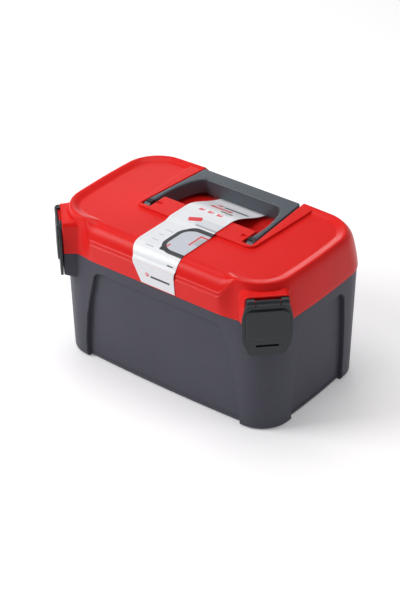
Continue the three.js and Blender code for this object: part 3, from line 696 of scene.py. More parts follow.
def bay_outline(grow):
    body, handle, at = sizes("body"), sizes("handle"), places()
    neck = handle.leg_inner - handle.clear - grow
    leg_end = at["pivot_y"] - handle.height / 2 - handle.clear - grow
    wide = handle.leg_half + handle.clear + grow
    back = handle.back_half + handle.clear + grow
    right = [(neck, at["bay_y"] - grow), (neck, leg_end), (wide, leg_end), (wide, at["pivot_y"]),
             (back, at["back_y"]), (back, body.half_depth + 30 * MM)]
    return mirrored(right)


def bay_space(low, grow=0.0, mouth=0.0):
    """The handle's bay; its mouth opens out by a small round at the raised field's top."""
    at = places()
    top = at["platform_z"]
    levels = [(low, grow), (top - mouth, grow)]
    levels += [(top - mouth + mouth * math.sin(a), grow + mouth * (1 - math.cos(a)))
               for a in (math.radians(90 * k / 4) for k in range(1, 5))]
    levels.append((top + 8 * MM, grow + mouth))
    return outward(loft("bay", [[(x, y, z) for x, y in bay_outline(out)] for z, out in levels]))


def platform():
    """The raised field round the handle."""
    handle, lid, at = sizes("handle"), sizes("lid"), places()
    r = lid.platform_r
    front_half = handle.leg_half + 8 * MM
    corner = arc(front_half - r, at["platform_y"] + r, r, -90, 0, 10)
    right = corner + [(handle.leg_half + 13 * MM, at["back_y"] - 5 * MM)]
    piece = extrude("platform", mirrored(right), at["panel_z"] - 1.2 * MM, at["platform_z"])
    return rounded(piece, 1.5 * MM, 4, 40, lambda at_middle: at_middle.z > at["platform_z"] - 0.1 * MM)


def pivot_bosses():
    """The blocks under the top panel that hold the handle's studs."""
    handle, at = sizes("handle"), places()
    r = 8 * MM
    x0 = handle.leg_half + handle.clear
    x1 = x0 + 8.5 * MM
    y, z = (at["pivot_y"] - r, at["pivot_y"] + r), (at["pivot_z"] - r, at["panel_z"])
    return [block("pivot boss", (x0, x1), y, z), block("pivot boss", (-x1, -x0), y, z)]


def lid_knuckles():
    body, at = sizes("body"), places()
    r, y, z = at["hinge_r"], at["hinge_y"], body.rim_z
    inner = body.half_depth - body.wall
    half = 8 * MM
    foot = [(inner, at["lid_z"]), (y, z), (y - r * 0.2, z + r * 0.9), (inner - 3 * MM, z + 22 * MM)]
    middles = [side * at["hinge_x"] for _, side in SIDES]
    return [knuckle((x - half, x + half), foot) for x in middles]


def arch(half, top, radius):
    """An upright outline with a flat foot at the seam and rounded shoulders."""
    right = [(half, places()["lid_z"])] + arc(half - radius, top - radius, radius, 0, 90, 8)
    return right + [(-x, z) for x, z in reversed(right)]


def latch_boss(side):
    """The red housing that flares out of the lid round a latch's top, with the lug that holds its pin."""
    latch, at = sizes("latch"), places()
    pin_y, pin_z = -at["pin_n"], at["pin_z"]
    face, top = at["latch_inner"] - 0.9 * MM, at["latch_top"] + 2.2 * MM
    half, shoulder, edge = 30 * MM, 7 * MM, 1.6 * MM
    flare_deep, flare_wide, steps = 24 * MM, 5 * MM, 9
    turns = [math.radians(30 * k) for k in range(4)]
    front = [(edge * (1 - math.cos(a)), -edge * (1 - math.sin(a))) for a in turns]
    flare = [(edge + flare_deep * k / steps, flare_wide * (k / steps) ** 2) for k in range(1, steps + 1)]
    rings = []
    for back, grow in front + flare:
        outline = arch(half + grow, top + 0.8 * grow, shoulder + grow)
        rings.append([(x, back - face, z) for x, z in outline])
    piece = outward(loft("boss", rings))
    room_r = latch.pin_in + 0.6 * MM
    ear = latch.half * 0.82 + 0.6 * MM
    room = rod("ear room", room_r, (-ear, ear), pin_y, pin_z)
    barrel_r, lug_half, lug_deep = 3.0 * MM, 16.3 * MM, 12 * MM
    lug = block("lug", (-lug_half, lug_half), (pin_y, lug_deep - face), (pin_z - barrel_r, pin_z - 0.3 * MM))
    barrel = rod("barrel", barrel_r, (-lug_half, lug_half), pin_y, pin_z)
    return turned_to_corner(add(cut(piece, room), lug, barrel), side)


def latch_pin_bore(side):
    at, half = places(), 17.5 * MM
    return turned_to_corner(rod("bore", PIN_BORE, (-half, half), -at["pin_n"], at["pin_z"], 20), side)


def pivot_notch(side):
    """The small stepped recess just inboard of each pivot."""
    at, inner = places(), sizes("handle").leg_inner
    ends = sorted((side * (inner - 12 * MM), side * (inner - 3.4 * MM)))
    z = (at["platform_z"] - 1.6 * MM, at["platform_z"] + MM)
    return block("notch", ends, (at["pivot_y"] - 1.5 * MM, at["pivot_y"] + 4 * MM), z)


def make_lid():
    handle, at = sizes("handle"), places()
    wall = sizes("body").wall
    skin = outward(loft("lid", [lid_ring(q) for q in skin_stations()]))
    limit = outward(loft("limit", [lid_ring(q) for q in (0, 0.5, LEDGE_FOOT, 1, 1.5, 2, 3)]))
    bay_walls = keep(bay_space(at["bay_z"] - wall, wall), limit)
    hollow = cut(lid_hollow(), bay_walls)
    shell = cut(add(skin, latch_boss(-1), latch_boss(1), *lid_knuckles()), hollow)
    shell = add(shell, platform(), *pivot_bosses())
    reach = handle.leg_half + handle.clear + 6.5 * MM
    pivot_bore = rod("bore", 4.3 * MM, (-reach, reach), at["pivot_y"], at["pivot_z"], 24)
    cuts = [bay_space(at["bay_z"], 0.0, 1.1 * MM), pivot_bore, hinge_bore()]
    for _, side in SIDES:
        cuts += [latch_pin_bore(side), pivot_notch(side)]
    return cut(shell, *cuts)


# ---- Handle ----
def handle_outline():
    """The handle seen from above: each leg is narrow at its pivot and sweeps wider into the grip."""
    handle, at = sizes("handle"), places()
    end = at["pivot_y"] - handle.height / 2
    back, grip, inner = at["back_y"], at["grip_y"], handle.leg_inner
    start = (inner + 2.5 * MM, grip - 62 * MM)
    bend = (inner - MM, grip - 9 * MM)
    stop = (inner - 18 * MM, grip)
    curve = [tuple((1 - t) ** 2 * a + 2 * t * (1 - t) * b + t * t * c for a, b, c in zip(stop, bend, start))
             for t in (k / 12 for k in range(13))]
    right = curve + [(start[0], end), (handle.leg_half, end), (handle.leg_half, at["pivot_y"]),
                     (handle.back_half, back - 4 * MM), (handle.back_half - 4 * MM, back)]
    return mirrored(right)


def make_handle():
    handle, at = sizes("handle"), places()
    low, high, back, front = at["handle_low"], at["handle_top"], at["back_y"], at["grip_y"]
    nose = arc(at["pivot_y"], at["pivot_z"], handle.height / 2, 90, 270, 20)
    under_r, over_r = 4 * MM, 3 * MM
    tail = arc(back - under_r, low + under_r, under_r, -90, 0, 6)
    tail += arc(back - over_r, high - over_r, over_r, 0, 90, 5)
    reach = handle.leg_half + 5 * MM
    side_view = extrude("side", nose + tail, -reach, reach, "YZ")
    bow = keep(extrude("handle", handle_outline(), low, high), side_view)

    def on_top(middle):
        return middle.z > high - MM and middle.y < back - 6 * MM
    bow = rounded(bow, handle.edge_r, 5, 45, on_top, MM)
    half, skin = handle.back_half - 5 * MM, 3 * MM
    hollow_y = (front + 3.5 * MM, back - skin)
    hollow = block("handle hollow", (-half, half), hollow_y, (low - MM, high - skin))
    studs = []
    for _, side in SIDES:
        ends = sorted((side * (handle.leg_half - 3 * MM), side * (handle.leg_half + handle.clear + 5.5 * MM)))
        studs.append(rod("stud", 4 * MM, ends, at["pivot_y"], at["pivot_z"]))
    return add(cut(bow, hollow), *studs)


# ---- Latches ----
def latch_outline():
    latch, at = sizes("latch"), places()
    low, high, half = at["latch_bottom"], at["latch_top"], latch.half
    right = [(half * 0.62, low), (half * 0.72, low + 1.2 * MM), (half * 0.78, low + 4 * MM),
             (half * 0.91, low + 14 * MM), (half * 0.98, low + 21 * MM), (half, low + 27 * MM),
             (half, low + 52 * MM), (half * 0.98, low + 58 * MM), (half * 0.91, high - 16 * MM),
             (half * 0.82, at["pin_z"])]
    return mirrored(right)


def latch_pad():
    """The cushion on a latch's face, with a rounded edge."""
    latch, at = sizes("latch"), places()
    half, corner, edge, steps = 27.5 * MM, 9 * MM, 1.8 * MM, 6
    z = (at["latch_bottom"] + 25 * MM, at["latch_top"] - 15 * MM)
    plate = at["latch_inner"] + latch.thick
    levels = [(plate - MM, 0.0)]
    for k in range(steps + 1):
        turn = math.radians(90 * k / steps)
        levels.append((plate + latch.pad - edge * (1 - math.sin(turn)), edge * (1 - math.cos(turn))))
    rings = []
    for out, slim in levels:
        outline = rounded_rectangle((slim - half, half - slim), (z[0] + slim, z[1] - slim), corner - slim)
        rings.append([(x, -out, height) for x, height in outline])
    return outward(loft("latch pad", rings))


def latch_window():
    """The room for the lid's lug: open behind and above, with a bar across the front between two slits."""
    at = places()
    y, z = -at["pin_n"], at["pin_z"]
    half, room_r, reach = 16.8 * MM, 3.4 * MM, 20 * MM
    slit_half, slit_x = 0.5 * MM, half - 0.9 * MM
    room = rod("room", room_r, (-half, half), y, z)
    behind = block("behind", (-half, half), (y, y + reach), (z - 6 * MM, z + reach))
    wedge = [(y, z), (y - 8 * MM, z + 18 * MM), (y - 8 * MM, z + reach), (y, z + reach)]
    above = extrude("above", wedge, -half, half, "YZ")
    slits = [block("slit", (x - slit_half, x + slit_half), (y - 12 * MM, y), (z - room_r, z + reach))
             for x in (-slit_x, slit_x)]
    return room, behind, above, *slits


def make_latch(side):
    latch, at = sizes("latch"), places()
    inner, outer = at["latch_inner"], at["latch_inner"] + latch.thick
    plate = rounded(extrude("latch", latch_outline(), -outer, -inner, "XZ"), 1.1 * MM, 3, 40)
    ear = latch.half * 0.82
    ears = rounded(rod("latch ears", latch.pin_in, (-ear, ear), -at["pin_n"], at["pin_z"]), 0.8 * MM, 2, 50)
    plate = add(plate, latch_pad(), ears)
    slot_half, slot_high, slot_z = 15 * MM, 1.5 * MM, at["latch_bottom"] + 14.5 * MM
    slot_span = (slot_z - slot_high, slot_z + slot_high)
    slot_outline = rounded_rectangle((-slot_half, slot_half), slot_span, 1.4 * MM, 5)
    slot = extrude("slot", slot_outline, -at["latch_face"] - MM, 0, "XZ")
    window = latch_window()
    bore_half = 24.3 * MM
    bore = rod("bore", latch.pin_r + 0.3 * MM, (-bore_half, bore_half), -at["pin_n"], at["pin_z"], 20)
    return turned_to_corner(cut(plate, slot, *window, bore), side)


def make_latch_pin(side):
    at, latch = places(), sizes("latch")
    pin = rod("latch pin", latch.pin_r, (-LATCH_STUB, LATCH_STUB), -at["pin_n"], at["pin_z"], 28)
    return turned_to_corner(rounded(pin, 0.4 * MM, 2, 60), side)


def make_hinge_pin(side):
    at, latch = places(), sizes("latch")
    middle = side * at["hinge_x"]
    ends = (middle - HINGE_STUB, middle + HINGE_STUB)
    pin = rod("hinge pin", latch.pin_r, ends, at["hinge_y"], sizes("body").rim_z, 28)
    return rounded(pin, 0.4 * MM, 2, 60)


# ---- Tray ----
def tray_room(clear):
    tray, at = sizes("tray"), places()
    inset = at["tray_inset"] + tray.wall + clear
    floor = at["tray_low"] + tray.wall + clear
    levels = [
        (floor, inset + tray.draft + 2 * MM),
        (floor + 0.8 * MM, inset + tray.draft + 0.6 * MM),
        (floor + 2 * MM, inset + tray.draft),
        (at["tray_top"] - 0.6 * MM, inset),
        (at["tray_top"] + MM, inset - 1.2 * MM),
    ]
    return body_loft("tray room", levels, 0.6)


def fitted(piece):
    """Trims an insert to the tray's inside and takes the sharpness off its edges."""
    return rounded(keep(piece, tray_room(INSERT_GAP)), 0.35 * MM, 2, 50)


def guide_pair(x, thick, y):
    at, wall = places(), sizes("tray").wall
    near = thick / 2 + INSERT_GAP
    z = (at["tray_low"] + MM, at["insert_top"])
    return [block("guide", sorted((x + hand * near, x + hand * (near + wall))), y, z) for hand in (-1, 1)]


def make_tray():
    body, tray, at = sizes("body"), sizes("tray"), places()
    flange_z = at["rest_z"] + body.gap
    flange_in = body.wall + body.gap + body.lip_t + tray.clear
    inset = at["tray_inset"]
    low = at["tray_low"]
    bin_levels = [
        (low, inset + tray.draft + 2 * MM),
        (low + 0.7 * MM, inset + tray.draft + 0.6 * MM),
        (low + 2 * MM, inset + tray.draft),
        (flange_z + MM, inset),
    ]
    flange_levels = [
        (flange_z, flange_in + 0.6 * MM),
        (flange_z + 0.6 * MM, flange_in),
        (at["tray_top"] - 0.8 * MM, flange_in),
        (at["tray_top"], flange_in + 0.8 * MM),
    ]
    outer = add(body_loft("tray", bin_levels, 0.6), body_loft("flange", flange_levels, 0.6))
    room = tray_room(0)
    wall_y = body.half_depth - inset - tray.draft - tray.wall
    reach = body.half_depth
    divider_x = at["insert_x"] / 3
    near = wall_y - 3 * MM
    guides = []
    for _, side in SIDES:
        guides += guide_pair(side * at["insert_x"], tray.wall, (near, reach))
        guides += guide_pair(side * at["insert_x"], tray.wall, (-reach, -near))
        guides += guide_pair(side * divider_x, DIVIDER_THICK, (near, reach))
    return cut(outer, cut(room, *guides))


def make_tray_wall(side):
    tray, at = sizes("tray"), places()
    half = tray.wall / 2
    x = side * at["insert_x"]
    reach = sizes("body").half_depth
    z = (at["tray_low"], at["insert_top"])
    plate = block("tray wall", (x - half, x + half), (-reach, reach), z)
    ends = sorted((side * (at["insert_x"] - half - 3 * MM), x))
    near = tray.rib_y + half + INSERT_GAP
    guides = [block("guide", ends, sorted((hand * near, hand * (near + tray.wall))), z) for hand in (-1, 1)]
    return fitted(add(plate, *guides))


def make_tray_rib():
    tray, at = sizes("tray"), places()
    half = tray.wall / 2
    end = at["insert_x"] - half - INSERT_GAP
    z = (at["tray_low"] + tray.wall + INSERT_GAP, at["insert_top"])
    leg = (tray.handle_half - 8 * MM, tray.handle_half)
    guide_y = (tray.rib_y, tray.rib_y + half + 3 * MM)
    foot_wall, socket_half, socket_deep = 2.4 * MM, 9.4 * MM, 8.4 * MM
    walls, feet, sockets, guides = [], [], [], []
    for _, side in SIDES:
        middle = side * tray.rib_y
        walls.append(block("rib", (-end, end), (middle - half, middle + half), z))
        outer = sorted((side * (leg[0] - foot_wall), side * (leg[1] + foot_wall)))
        inner = sorted((side * (leg[0] - INSERT_GAP), side * (leg[1] + INSERT_GAP)))
        feet.append(block("foot", outer, (-tray.rib_y, tray.rib_y), z))
        sockets.append(block("socket", inner, (-socket_half, socket_half), (z[1] - socket_deep, z[1] + MM)))
        guides += guide_pair(side * at["insert_x"] / 3, DIVIDER_THICK, guide_y)
    return fitted(add(cut(add(*walls, *feet), *sockets), *guides))


def make_tray_handle():
    tray, at = sizes("tray"), places()
    half, leg, bar, r = tray.handle_half, 8 * MM, 9 * MM, 14 * MM
    low = at["insert_top"] - 8 * MM
    top = at["bay_z"] - sizes("body").wall - 8 * MM
    inner = r - leg
    right = [(half, low)] + arc(half - r, top - r, r, 0, 90, 10)
    under = [(half - leg, low)] + arc(half - leg - inner, top - bar - inner, inner, 0, 90, 6)
    outline = mirrored(right) + [(-x, z) for x, z in under] + list(reversed(under))
    deep = 9 * MM
    return rounded(extrude("tray handle", outline, -deep, deep, "XZ"), 2.2 * MM, 4, 50)


def make_divider(side):
    tray, at = sizes("tray"), places()
    x = side * at["insert_x"] / 3
    half = DIVIDER_THICK / 2
    y = (tray.rib_y + tray.wall / 2 + INSERT_GAP, sizes("body").half_depth)
    return fitted(block("tray divider", (x - half, x + half), y, (at["tray_low"], at["tray_top"] - 4 * MM)))


# ---- Card sleeve ----
def card_path(out):
    """The sleeve's line from the hem up the front, over the top and down into the bay, as (y, z)."""
    lid, at, card = sizes("lid"), places(), sizes("card")
    hem_z, slope_top = at["lid_z"] + card.hem, at["ledge_z"] - lid.ledge_h
    step = lid.ledge_step
    path = []
    for k in range(9):
        z = hem_z + (slope_top - hem_z) * k / 8
        climb = (z - at["lid_z"]) / (slope_top - at["lid_z"])
        path.append((-at["seam_y"] - (at["ledge_y"] + step - at["seam_y"]) * climb - out, z))
    path.append((-at["ledge_y"] - 1.2 * MM - out, at["ledge_z"] - 0.6 * MM))
    for k in range(1, 13):
        y, z = front_profile(1 + k / 12)
        path.append((-y - out * (1 - k / 12), z + out * k / 12))
    platform_y, bay_y, end_y = at["platform_y"], at["bay_y"], at["grip_y"] + 11 * MM
    panel_z, platform_z = at["panel_z"] + out, at["platform_z"] + out
    path.append((-90 * MM, panel_z))
    for k in range(8):
        path.append((platform_y - 12 * MM + 14 * MM * k / 7, panel_z + (platform_z - panel_z) * eased(k / 7)))
    path += [(platform_y + 12 * MM, platform_z), (bay_y - 8 * MM, platform_z)]
    fall = at["platform_z"] - at["bay_z"] - 2.1 * MM
    for k in range(17):
        t = k / 16
        drop = eased(0.08 + 0.92 * t) - eased(0.08) * (1 - t)
        path.append((bay_y + (end_y - bay_y) * t, platform_z - fall * drop))
    return path


def lengths_along(path):
    lengths = [0.0]
    for a, b in zip(path, path[1:]):
        lengths.append(lengths[-1] + math.dist(a, b))
    return lengths


def card_mark(value, axis=0):
    """How far up the sleeve, in millimetres, it passes a y, or with axis 1 a height on its front flap."""
    path = card_path(CARD_LIFT)
    stops = list(zip(path, lengths_along(path)))
    for (a, far_a), (b, far_b) in zip(stops, stops[1:]):
        if a[axis] <= value * MM <= b[axis]:
            return (far_a + (far_b - far_a) * (value * MM - a[axis]) / max(b[axis] - a[axis], 1e-9)) / MM
    raise ValueError("the sleeve does not pass %g mm" % value)


def make_card():
    card, at = sizes("card"), places()
    lower, upper = card_path(CARD_LIFT), card_path(CARD_LIFT + card.thick)
    lengths = lengths_along(lower)
    fold_y, fold_z = -90 * MM, at["panel_z"] - 3 * MM
    across = 14
    points, marks = [], []
    for path in (upper, lower):
        for (y, z), far in zip(path, lengths):
            narrow = max(0.0, (fold_z - z) / (fold_z - at["lid_z"])) if y < fold_y else 0.0
            left = -card.half + (card.hem_left + card.half) * narrow
            right = card.half + (card.hem_right - card.half) * narrow
            for n in range(across + 1):
                x = left + (right - left) * n / across
                points.append((x, y, z))
                marks.append((x, far))
    row, rows = across + 1, len(lower)
    under = row * rows
    faces = []
    for k in range(rows - 1):
        for n in range(across):
            a = k * row + n
            faces.append((a, a + 1, a + 1 + row, a + row))
            faces.append((under + a, under + a + row, under + a + 1 + row, under + a + 1))
        for edge in (0, across):
            a = k * row + edge
            faces.append((a, a + row, under + a + row, under + a))
    for n in range(across):
        for k in (0, rows - 1):
            a = k * row + n
            faces.append((a, under + a, under + a + 1, a + 1))
    piece = outward(new_object("card", points, faces))
    layer = piece.data.uv_layers.new(name="print")
    for corner in piece.data.loops:
        layer.data[corner.index].uv = marks[corner.vertex_index]
    return piece


# ---- Geometry Nodes: what repeats and what follows a path ----
def node_group(name, inputs):
    """A Geometry Nodes tree with a geometry in and out and named number inputs."""
    tree = bpy.data.node_groups.new(name, "GeometryNodeTree")
    tree.interface.new_socket("Geometry", in_out="INPUT", socket_type="NodeSocketGeometry")
    for label, kind, default in inputs:
        socket = tree.interface.new_socket(label, in_out="INPUT", socket_type=kind)
        if default is not None:
            socket.default_value = default
    tree.interface.new_socket("Geometry", in_out="OUTPUT", socket_type="NodeSocketGeometry")
    return tree


def add_node(tree, kind, settings=None, **values):
    """Adds a node: its settings first, then the values or links of its sockets, by name."""
    node = tree.nodes.new(kind)
    for key, value in (settings or {}).items():
        setattr(node, key, value)
    for key, value in values.items():
        label = key.replace("_", " ")
        socket = next(one for one in node.inputs if one.enabled and one.name == label)
        if isinstance(value, bpy.types.NodeSocket):
            tree.links.new(value, socket)
        else:
            socket.default_value = value
    return node


def rib_row_tree():
    """A row of upright box ribs along X, centred on the origin; leg_end_ribs rounds them afterwards."""
    tree = node_group("rib row", (
        ("Count", "NodeSocketInt", 3),
        ("Pitch", "NodeSocketFloat", 3 * MM),
        ("Rib size", "NodeSocketVector", None),
        ("Finish", "NodeSocketMaterial", None),
    ))
    given = tree.nodes.new("NodeGroupInput").outputs
    gaps = add_node(tree, "ShaderNodeMath", {"operation": "SUBTRACT"})
    tree.links.new(given["Count"], gaps.inputs[0])
    gaps.inputs[1].default_value = 1.0
    reach = add_node(tree, "ShaderNodeMath", {"operation": "MULTIPLY"})
    tree.links.new(gaps.outputs[0], reach.inputs[0])
    tree.links.new(given["Pitch"], reach.inputs[1])
    first = add_node(tree, "ShaderNodeMath", {"operation": "MULTIPLY"})
    tree.links.new(reach.outputs[0], first.inputs[0])
    first.inputs[1].default_value = -0.5
    start = add_node(tree, "ShaderNodeCombineXYZ", X=first.outputs[0])
    step = add_node(tree, "ShaderNodeCombineXYZ", X=given["Pitch"])
    line = add_node(tree, "GeometryNodeMeshLine", {"mode": "OFFSET"}, Count=given["Count"],
                    Start_Location=start.outputs[0], Offset=step.outputs[0])
    rib = add_node(tree, "GeometryNodeMeshCube", Size=given["Rib size"],
                   Vertices_X=2, Vertices_Y=6, Vertices_Z=3)
    row = add_node(tree, "GeometryNodeInstanceOnPoints", Points=line.outputs[0], Instance=rib.outputs["Mesh"])
    real = add_node(tree, "GeometryNodeRealizeInstances", Geometry=row.outputs[0])
    dressed = add_node(tree, "GeometryNodeSetMaterial", Geometry=real.outputs[0], Material=given["Finish"])
    tree.links.new(dressed.outputs[0], tree.nodes.new("NodeGroupOutput").inputs[0])
    return tree


def bead_tree():
    """A round bead that follows the object's own line of edges."""
    tree = node_group("bead", (
        ("Radius", "NodeSocketFloat", 0.7 * MM),
        ("Sides", "NodeSocketInt", 10),
        ("Finish", "NodeSocketMaterial", None),
    ))
    given = tree.nodes.new("NodeGroupInput").outputs
    path = add_node(tree, "GeometryNodeMeshToCurve", Mesh=given["Geometry"])
    section = add_node(tree, "GeometryNodeCurvePrimitiveCircle",
                       Resolution=given["Sides"], Radius=given["Radius"])
    tube = add_node(tree, "GeometryNodeCurveToMesh", Curve=path.outputs[0],
                    Profile_Curve=section.outputs[0], Fill_Caps=True)
    real = add_node(tree, "GeometryNodeRealizeInstances", Geometry=tube.outputs[0])
    dressed = add_node(tree, "GeometryNodeSetMaterial", Geometry=real.outputs[0], Material=given["Finish"])
    tree.links.new(dressed.outputs[0], tree.nodes.new("NodeGroupOutput").inputs[0])
    return tree


def grown(piece, tree, **values):
    """Runs a Geometry Nodes tree on a piece, with its inputs set by identifier, and keeps the plain mesh."""
    modifier = piece.modifiers.new(tree.name, "NODES")
    modifier.node_group = tree
    for socket in tree.interface.items_tree:
        key = socket.name.replace(" ", "_").lower()
        if socket.in_out == "INPUT" and key in values:
            modifier[socket.identifier] = values[key]
    return settle(piece)


def line_object(name, points):
    mesh = bpy.data.meshes.new(name)
    mesh.from_pydata(points, [(k, k + 1) for k in range(len(points) - 1)], [])
    piece = bpy.data.objects.new(name, mesh)
    bpy.context.scene.collection.objects.link(piece)
    return piece


def panel_beads(material):
    """The thin beads along the foot of the set-in panels."""
    body, tree = sizes("body"), bead_tree()
    z = 7.5 * MM
    outline = body_outline(z, body.panel_depth - 0.2 * MM)
    reach = (body.half_length - body.front_column - 2 * MM, body.half_depth - body.side_column - 2 * MM)
    beads = []
    for along, face in ((0, -1), (0, 1), (1, -1), (1, 1)):
        run = [point for point in outline if face * point[1 - along] > 0 and abs(point[along]) < reach[along]]
        run.sort(key=lambda point: point[along])
        line = line_object("bead", [(x, y, z) for x, y in run])
        beads.append(grown(line, tree, radius=body.bead, finish=material))
    return merged(*beads)


def leg_end_ribs(material):
    """The black ribbed clips on the ends of the handle's legs."""
    handle, at, tree = sizes("handle"), places(), rib_row_tree()
    middle = (handle.leg_inner + handle.leg_half) / 2
    pitch, rib_size = 3.0 * MM, (1.6 * MM, 9.0 * MM, 4.4 * MM)
    rows = []
    for name, side in SIDES:
        row = line_object("leg ribs " + name, [(0, 0, 0), (MM, 0, 0)])
        row = grown(row, tree, count=3, pitch=pitch, rib_size=rib_size, finish=material)
        place = (side * middle, at["pivot_y"] - MM, at["handle_top"] - 1.5 * MM)
        row.data.transform(Matrix.Translation(place))
        rows.append(rounded(row, 0.5 * MM, 2, 50))
    return merged(*rows)


# ---- Shader sheets ----
class Value:
    """A number socket in a material that takes part in arithmetic."""

    def __init__(self, sheet, socket):
        self.sheet = sheet
        self.socket = socket

    def math(self, operation, *others):
        return self.sheet.number("ShaderNodeMath", {"operation": operation}, self, *others)

    def __add__(self, other):
        return self.math("ADD", other)

    __radd__ = __add__

    def __mul__(self, other):
        return self.math("MULTIPLY", other)

    __rmul__ = __mul__

    def __sub__(self, other):
        return self.math("SUBTRACT", other)

    def __rsub__(self, other):
        return self.sheet.number("ShaderNodeMath", {"operation": "SUBTRACT"}, other, self)

    def __pow__(self, other):
        return self.math("POWER", other)

    def __abs__(self):
        return self.math("ABSOLUTE")

    def rises(self, start, end):
        """0 below start, 1 above end and a straight ramp between."""
        settings = {"clamp": True}
        return self.sheet.number("ShaderNodeMapRange", settings, self, start, end, 0.0, 1.0)

    def most(self, other):
        return self.math("MAXIMUM", other)


class Sheet:
    """A material's node tree, written as expressions."""

    def __init__(self, name):
        self.material = bpy.data.materials.new(name)
        self.material.use_nodes = True
        self.tree = self.material.node_tree
        self.shader = self.tree.nodes["Principled BSDF"]

    def node(self, kind, settings=None, *values, **named):
        """Adds a node: its settings first, then the values or links of its sockets, by order or by name."""
        node = self.tree.nodes.new(kind)
        for key, value in (settings or {}).items():
            setattr(node, key, value)
        sockets = [one for one in node.inputs if one.enabled]
        pairs = list(zip(sockets, values))
        for key, value in named.items():
            pairs.append((next(one for one in sockets if one.name == key.replace("_", " ")), value))
        for socket, value in pairs:
            self.put(socket, value)
        return node

    def put(self, socket, value):
        value = value.socket if isinstance(value, Value) else value
        if isinstance(value, bpy.types.NodeSocket):
            self.tree.links.new(value, socket)
        elif isinstance(value, (tuple, list)) and len(value) == 3 and socket.type == "RGBA":
            socket.default_value = (*value, 1.0)
        else:
            socket.default_value = value

    def number(self, kind, settings=None, *values, **named):
        return Value(self, self.node(kind, settings, *values, **named).outputs[0])

    def where(self, scale=(1.0, 1.0, 1.0), turn=(0.0, 0.0, 0.0)):
        """The object's own coordinates, scaled and turned."""
        place = self.node("ShaderNodeTexCoord").outputs["Object"]
        return self.node("ShaderNodeMapping", None, place, Rotation=turn, Scale=scale).outputs[0]

    def noise(self, scale, detail=2.0, roughness=0.5, vector=None, distortion=0.0):
        vector = vector or self.where()
        node = self.node("ShaderNodeTexNoise", {"noise_dimensions": "3D"}, Vector=vector, Scale=scale,
                         Detail=detail, Roughness=roughness, Distortion=distortion)
        return Value(self, node.outputs["Fac"])

    def cells(self, scale):
        node = self.node("ShaderNodeTexVoronoi", {"feature": "F1"}, Vector=self.where(), Scale=scale)
        return Value(self, node.outputs["Distance"])

    def blend(self, amount, first, second):
        """A colour between two, by an amount from 0 to 1."""
        node = self.tree.nodes.new("ShaderNodeMix")
        node.data_type = "RGBA"
        self.put(node.inputs["Factor"], amount)
        colours = [one for one in node.inputs if one.type == "RGBA"]
        self.put(colours[0], first)
        self.put(colours[1], second)
        return next(one for one in node.outputs if one.type == "RGBA")

    def bump(self, height, strength, distance):
        node = self.node("ShaderNodeBump", None, Strength=strength, Distance=distance, Height=height)
        return node.outputs[0]

    def surface(self, **values):
        for key, value in values.items():
            self.put(self.shader.inputs[key.replace("_", " ")], value)
        return self.material


def shade(base, factor):
    return tuple(min(part * factor, 1.0) for part in base)


def scuffs(sheet):
    """Faint rubbed marks: long thin streaks in a few patches."""
    streak = sheet.noise(55.0, 3.0, 0.6, sheet.where((1.0, 9.0, 5.0), (0.3, 0.2, 0.7)), 0.6)
    patch = sheet.noise(9.0, 2.0)
    return streak.rises(0.60, 0.72) * patch.rises(0.50, 0.66)


def plastic(name, base, roughness, grain, grain_depth, coat=0.0, haze=1.0, specular=0.4):
    """Moulded plastic: a fine grain, slow drifts of tone and gloss, and a few rubbed marks."""
    sheet = Sheet(name)
    drift = sheet.noise(7.0, 3.0)
    mottle = sheet.noise(90.0, 4.0, 0.6)
    worn = scuffs(sheet)
    tone = sheet.blend(drift.rises(0.3, 0.7), shade(base, 0.93), shade(base, 1.07))
    tone = sheet.blend(mottle.rises(0.35, 0.65) * (0.14 * haze), tone, shade(base, 1.35))
    tone = sheet.blend(worn * (0.10 * haze), tone, tuple(0.6 * part + 0.16 for part in base))
    gloss = roughness + (drift - 0.5) * 0.10 + (mottle - 0.5) * 0.08 + worn * 0.10
    skin = sheet.noise(grain, 2.0, 0.55) * 0.6 + sheet.cells(grain * 0.8) * 0.4
    wave = sheet.noise(26.0, 1.0)
    near = sheet.bump(skin, 0.55, grain_depth)
    normal = sheet.node("ShaderNodeBump", None, Strength=0.25, Distance=0.4 * MM, Height=wave,
                        Normal=near).outputs[0]
    return sheet.surface(Base_Color=tone, Roughness=gloss, Normal=normal, Coat_Weight=coat,
                         Coat_Roughness=0.25, Specular_IOR_Level=specular)


def lid_plastic():
    red = tuple(sizes("finishes").lid_red)
    return plastic("lid_red", red, 0.34, 1500.0, 0.00004, haze=0.5, specular=0.15)


def body_plastic():
    grey = tuple(sizes("finishes").body_grey)
    return plastic("body_grey", grey, 0.42, 1300.0, 0.00006, specular=0.11)


def steel():
    sheet = Sheet("pin_steel")
    base = tuple(sizes("finishes").steel)
    drawn = sheet.noise(900.0, 3.0, 0.6, sheet.where((0.05, 1.0, 1.0)))
    tarnish = sheet.noise(120.0, 3.0)
    tone = sheet.blend(tarnish.rises(0.45, 0.75), base, shade(base, 0.7))
    return sheet.surface(Base_Color=tone, Metallic=1.0, Roughness=0.26 + drawn * 0.16,
                         Normal=sheet.bump(drawn, 0.3, 0.00003))


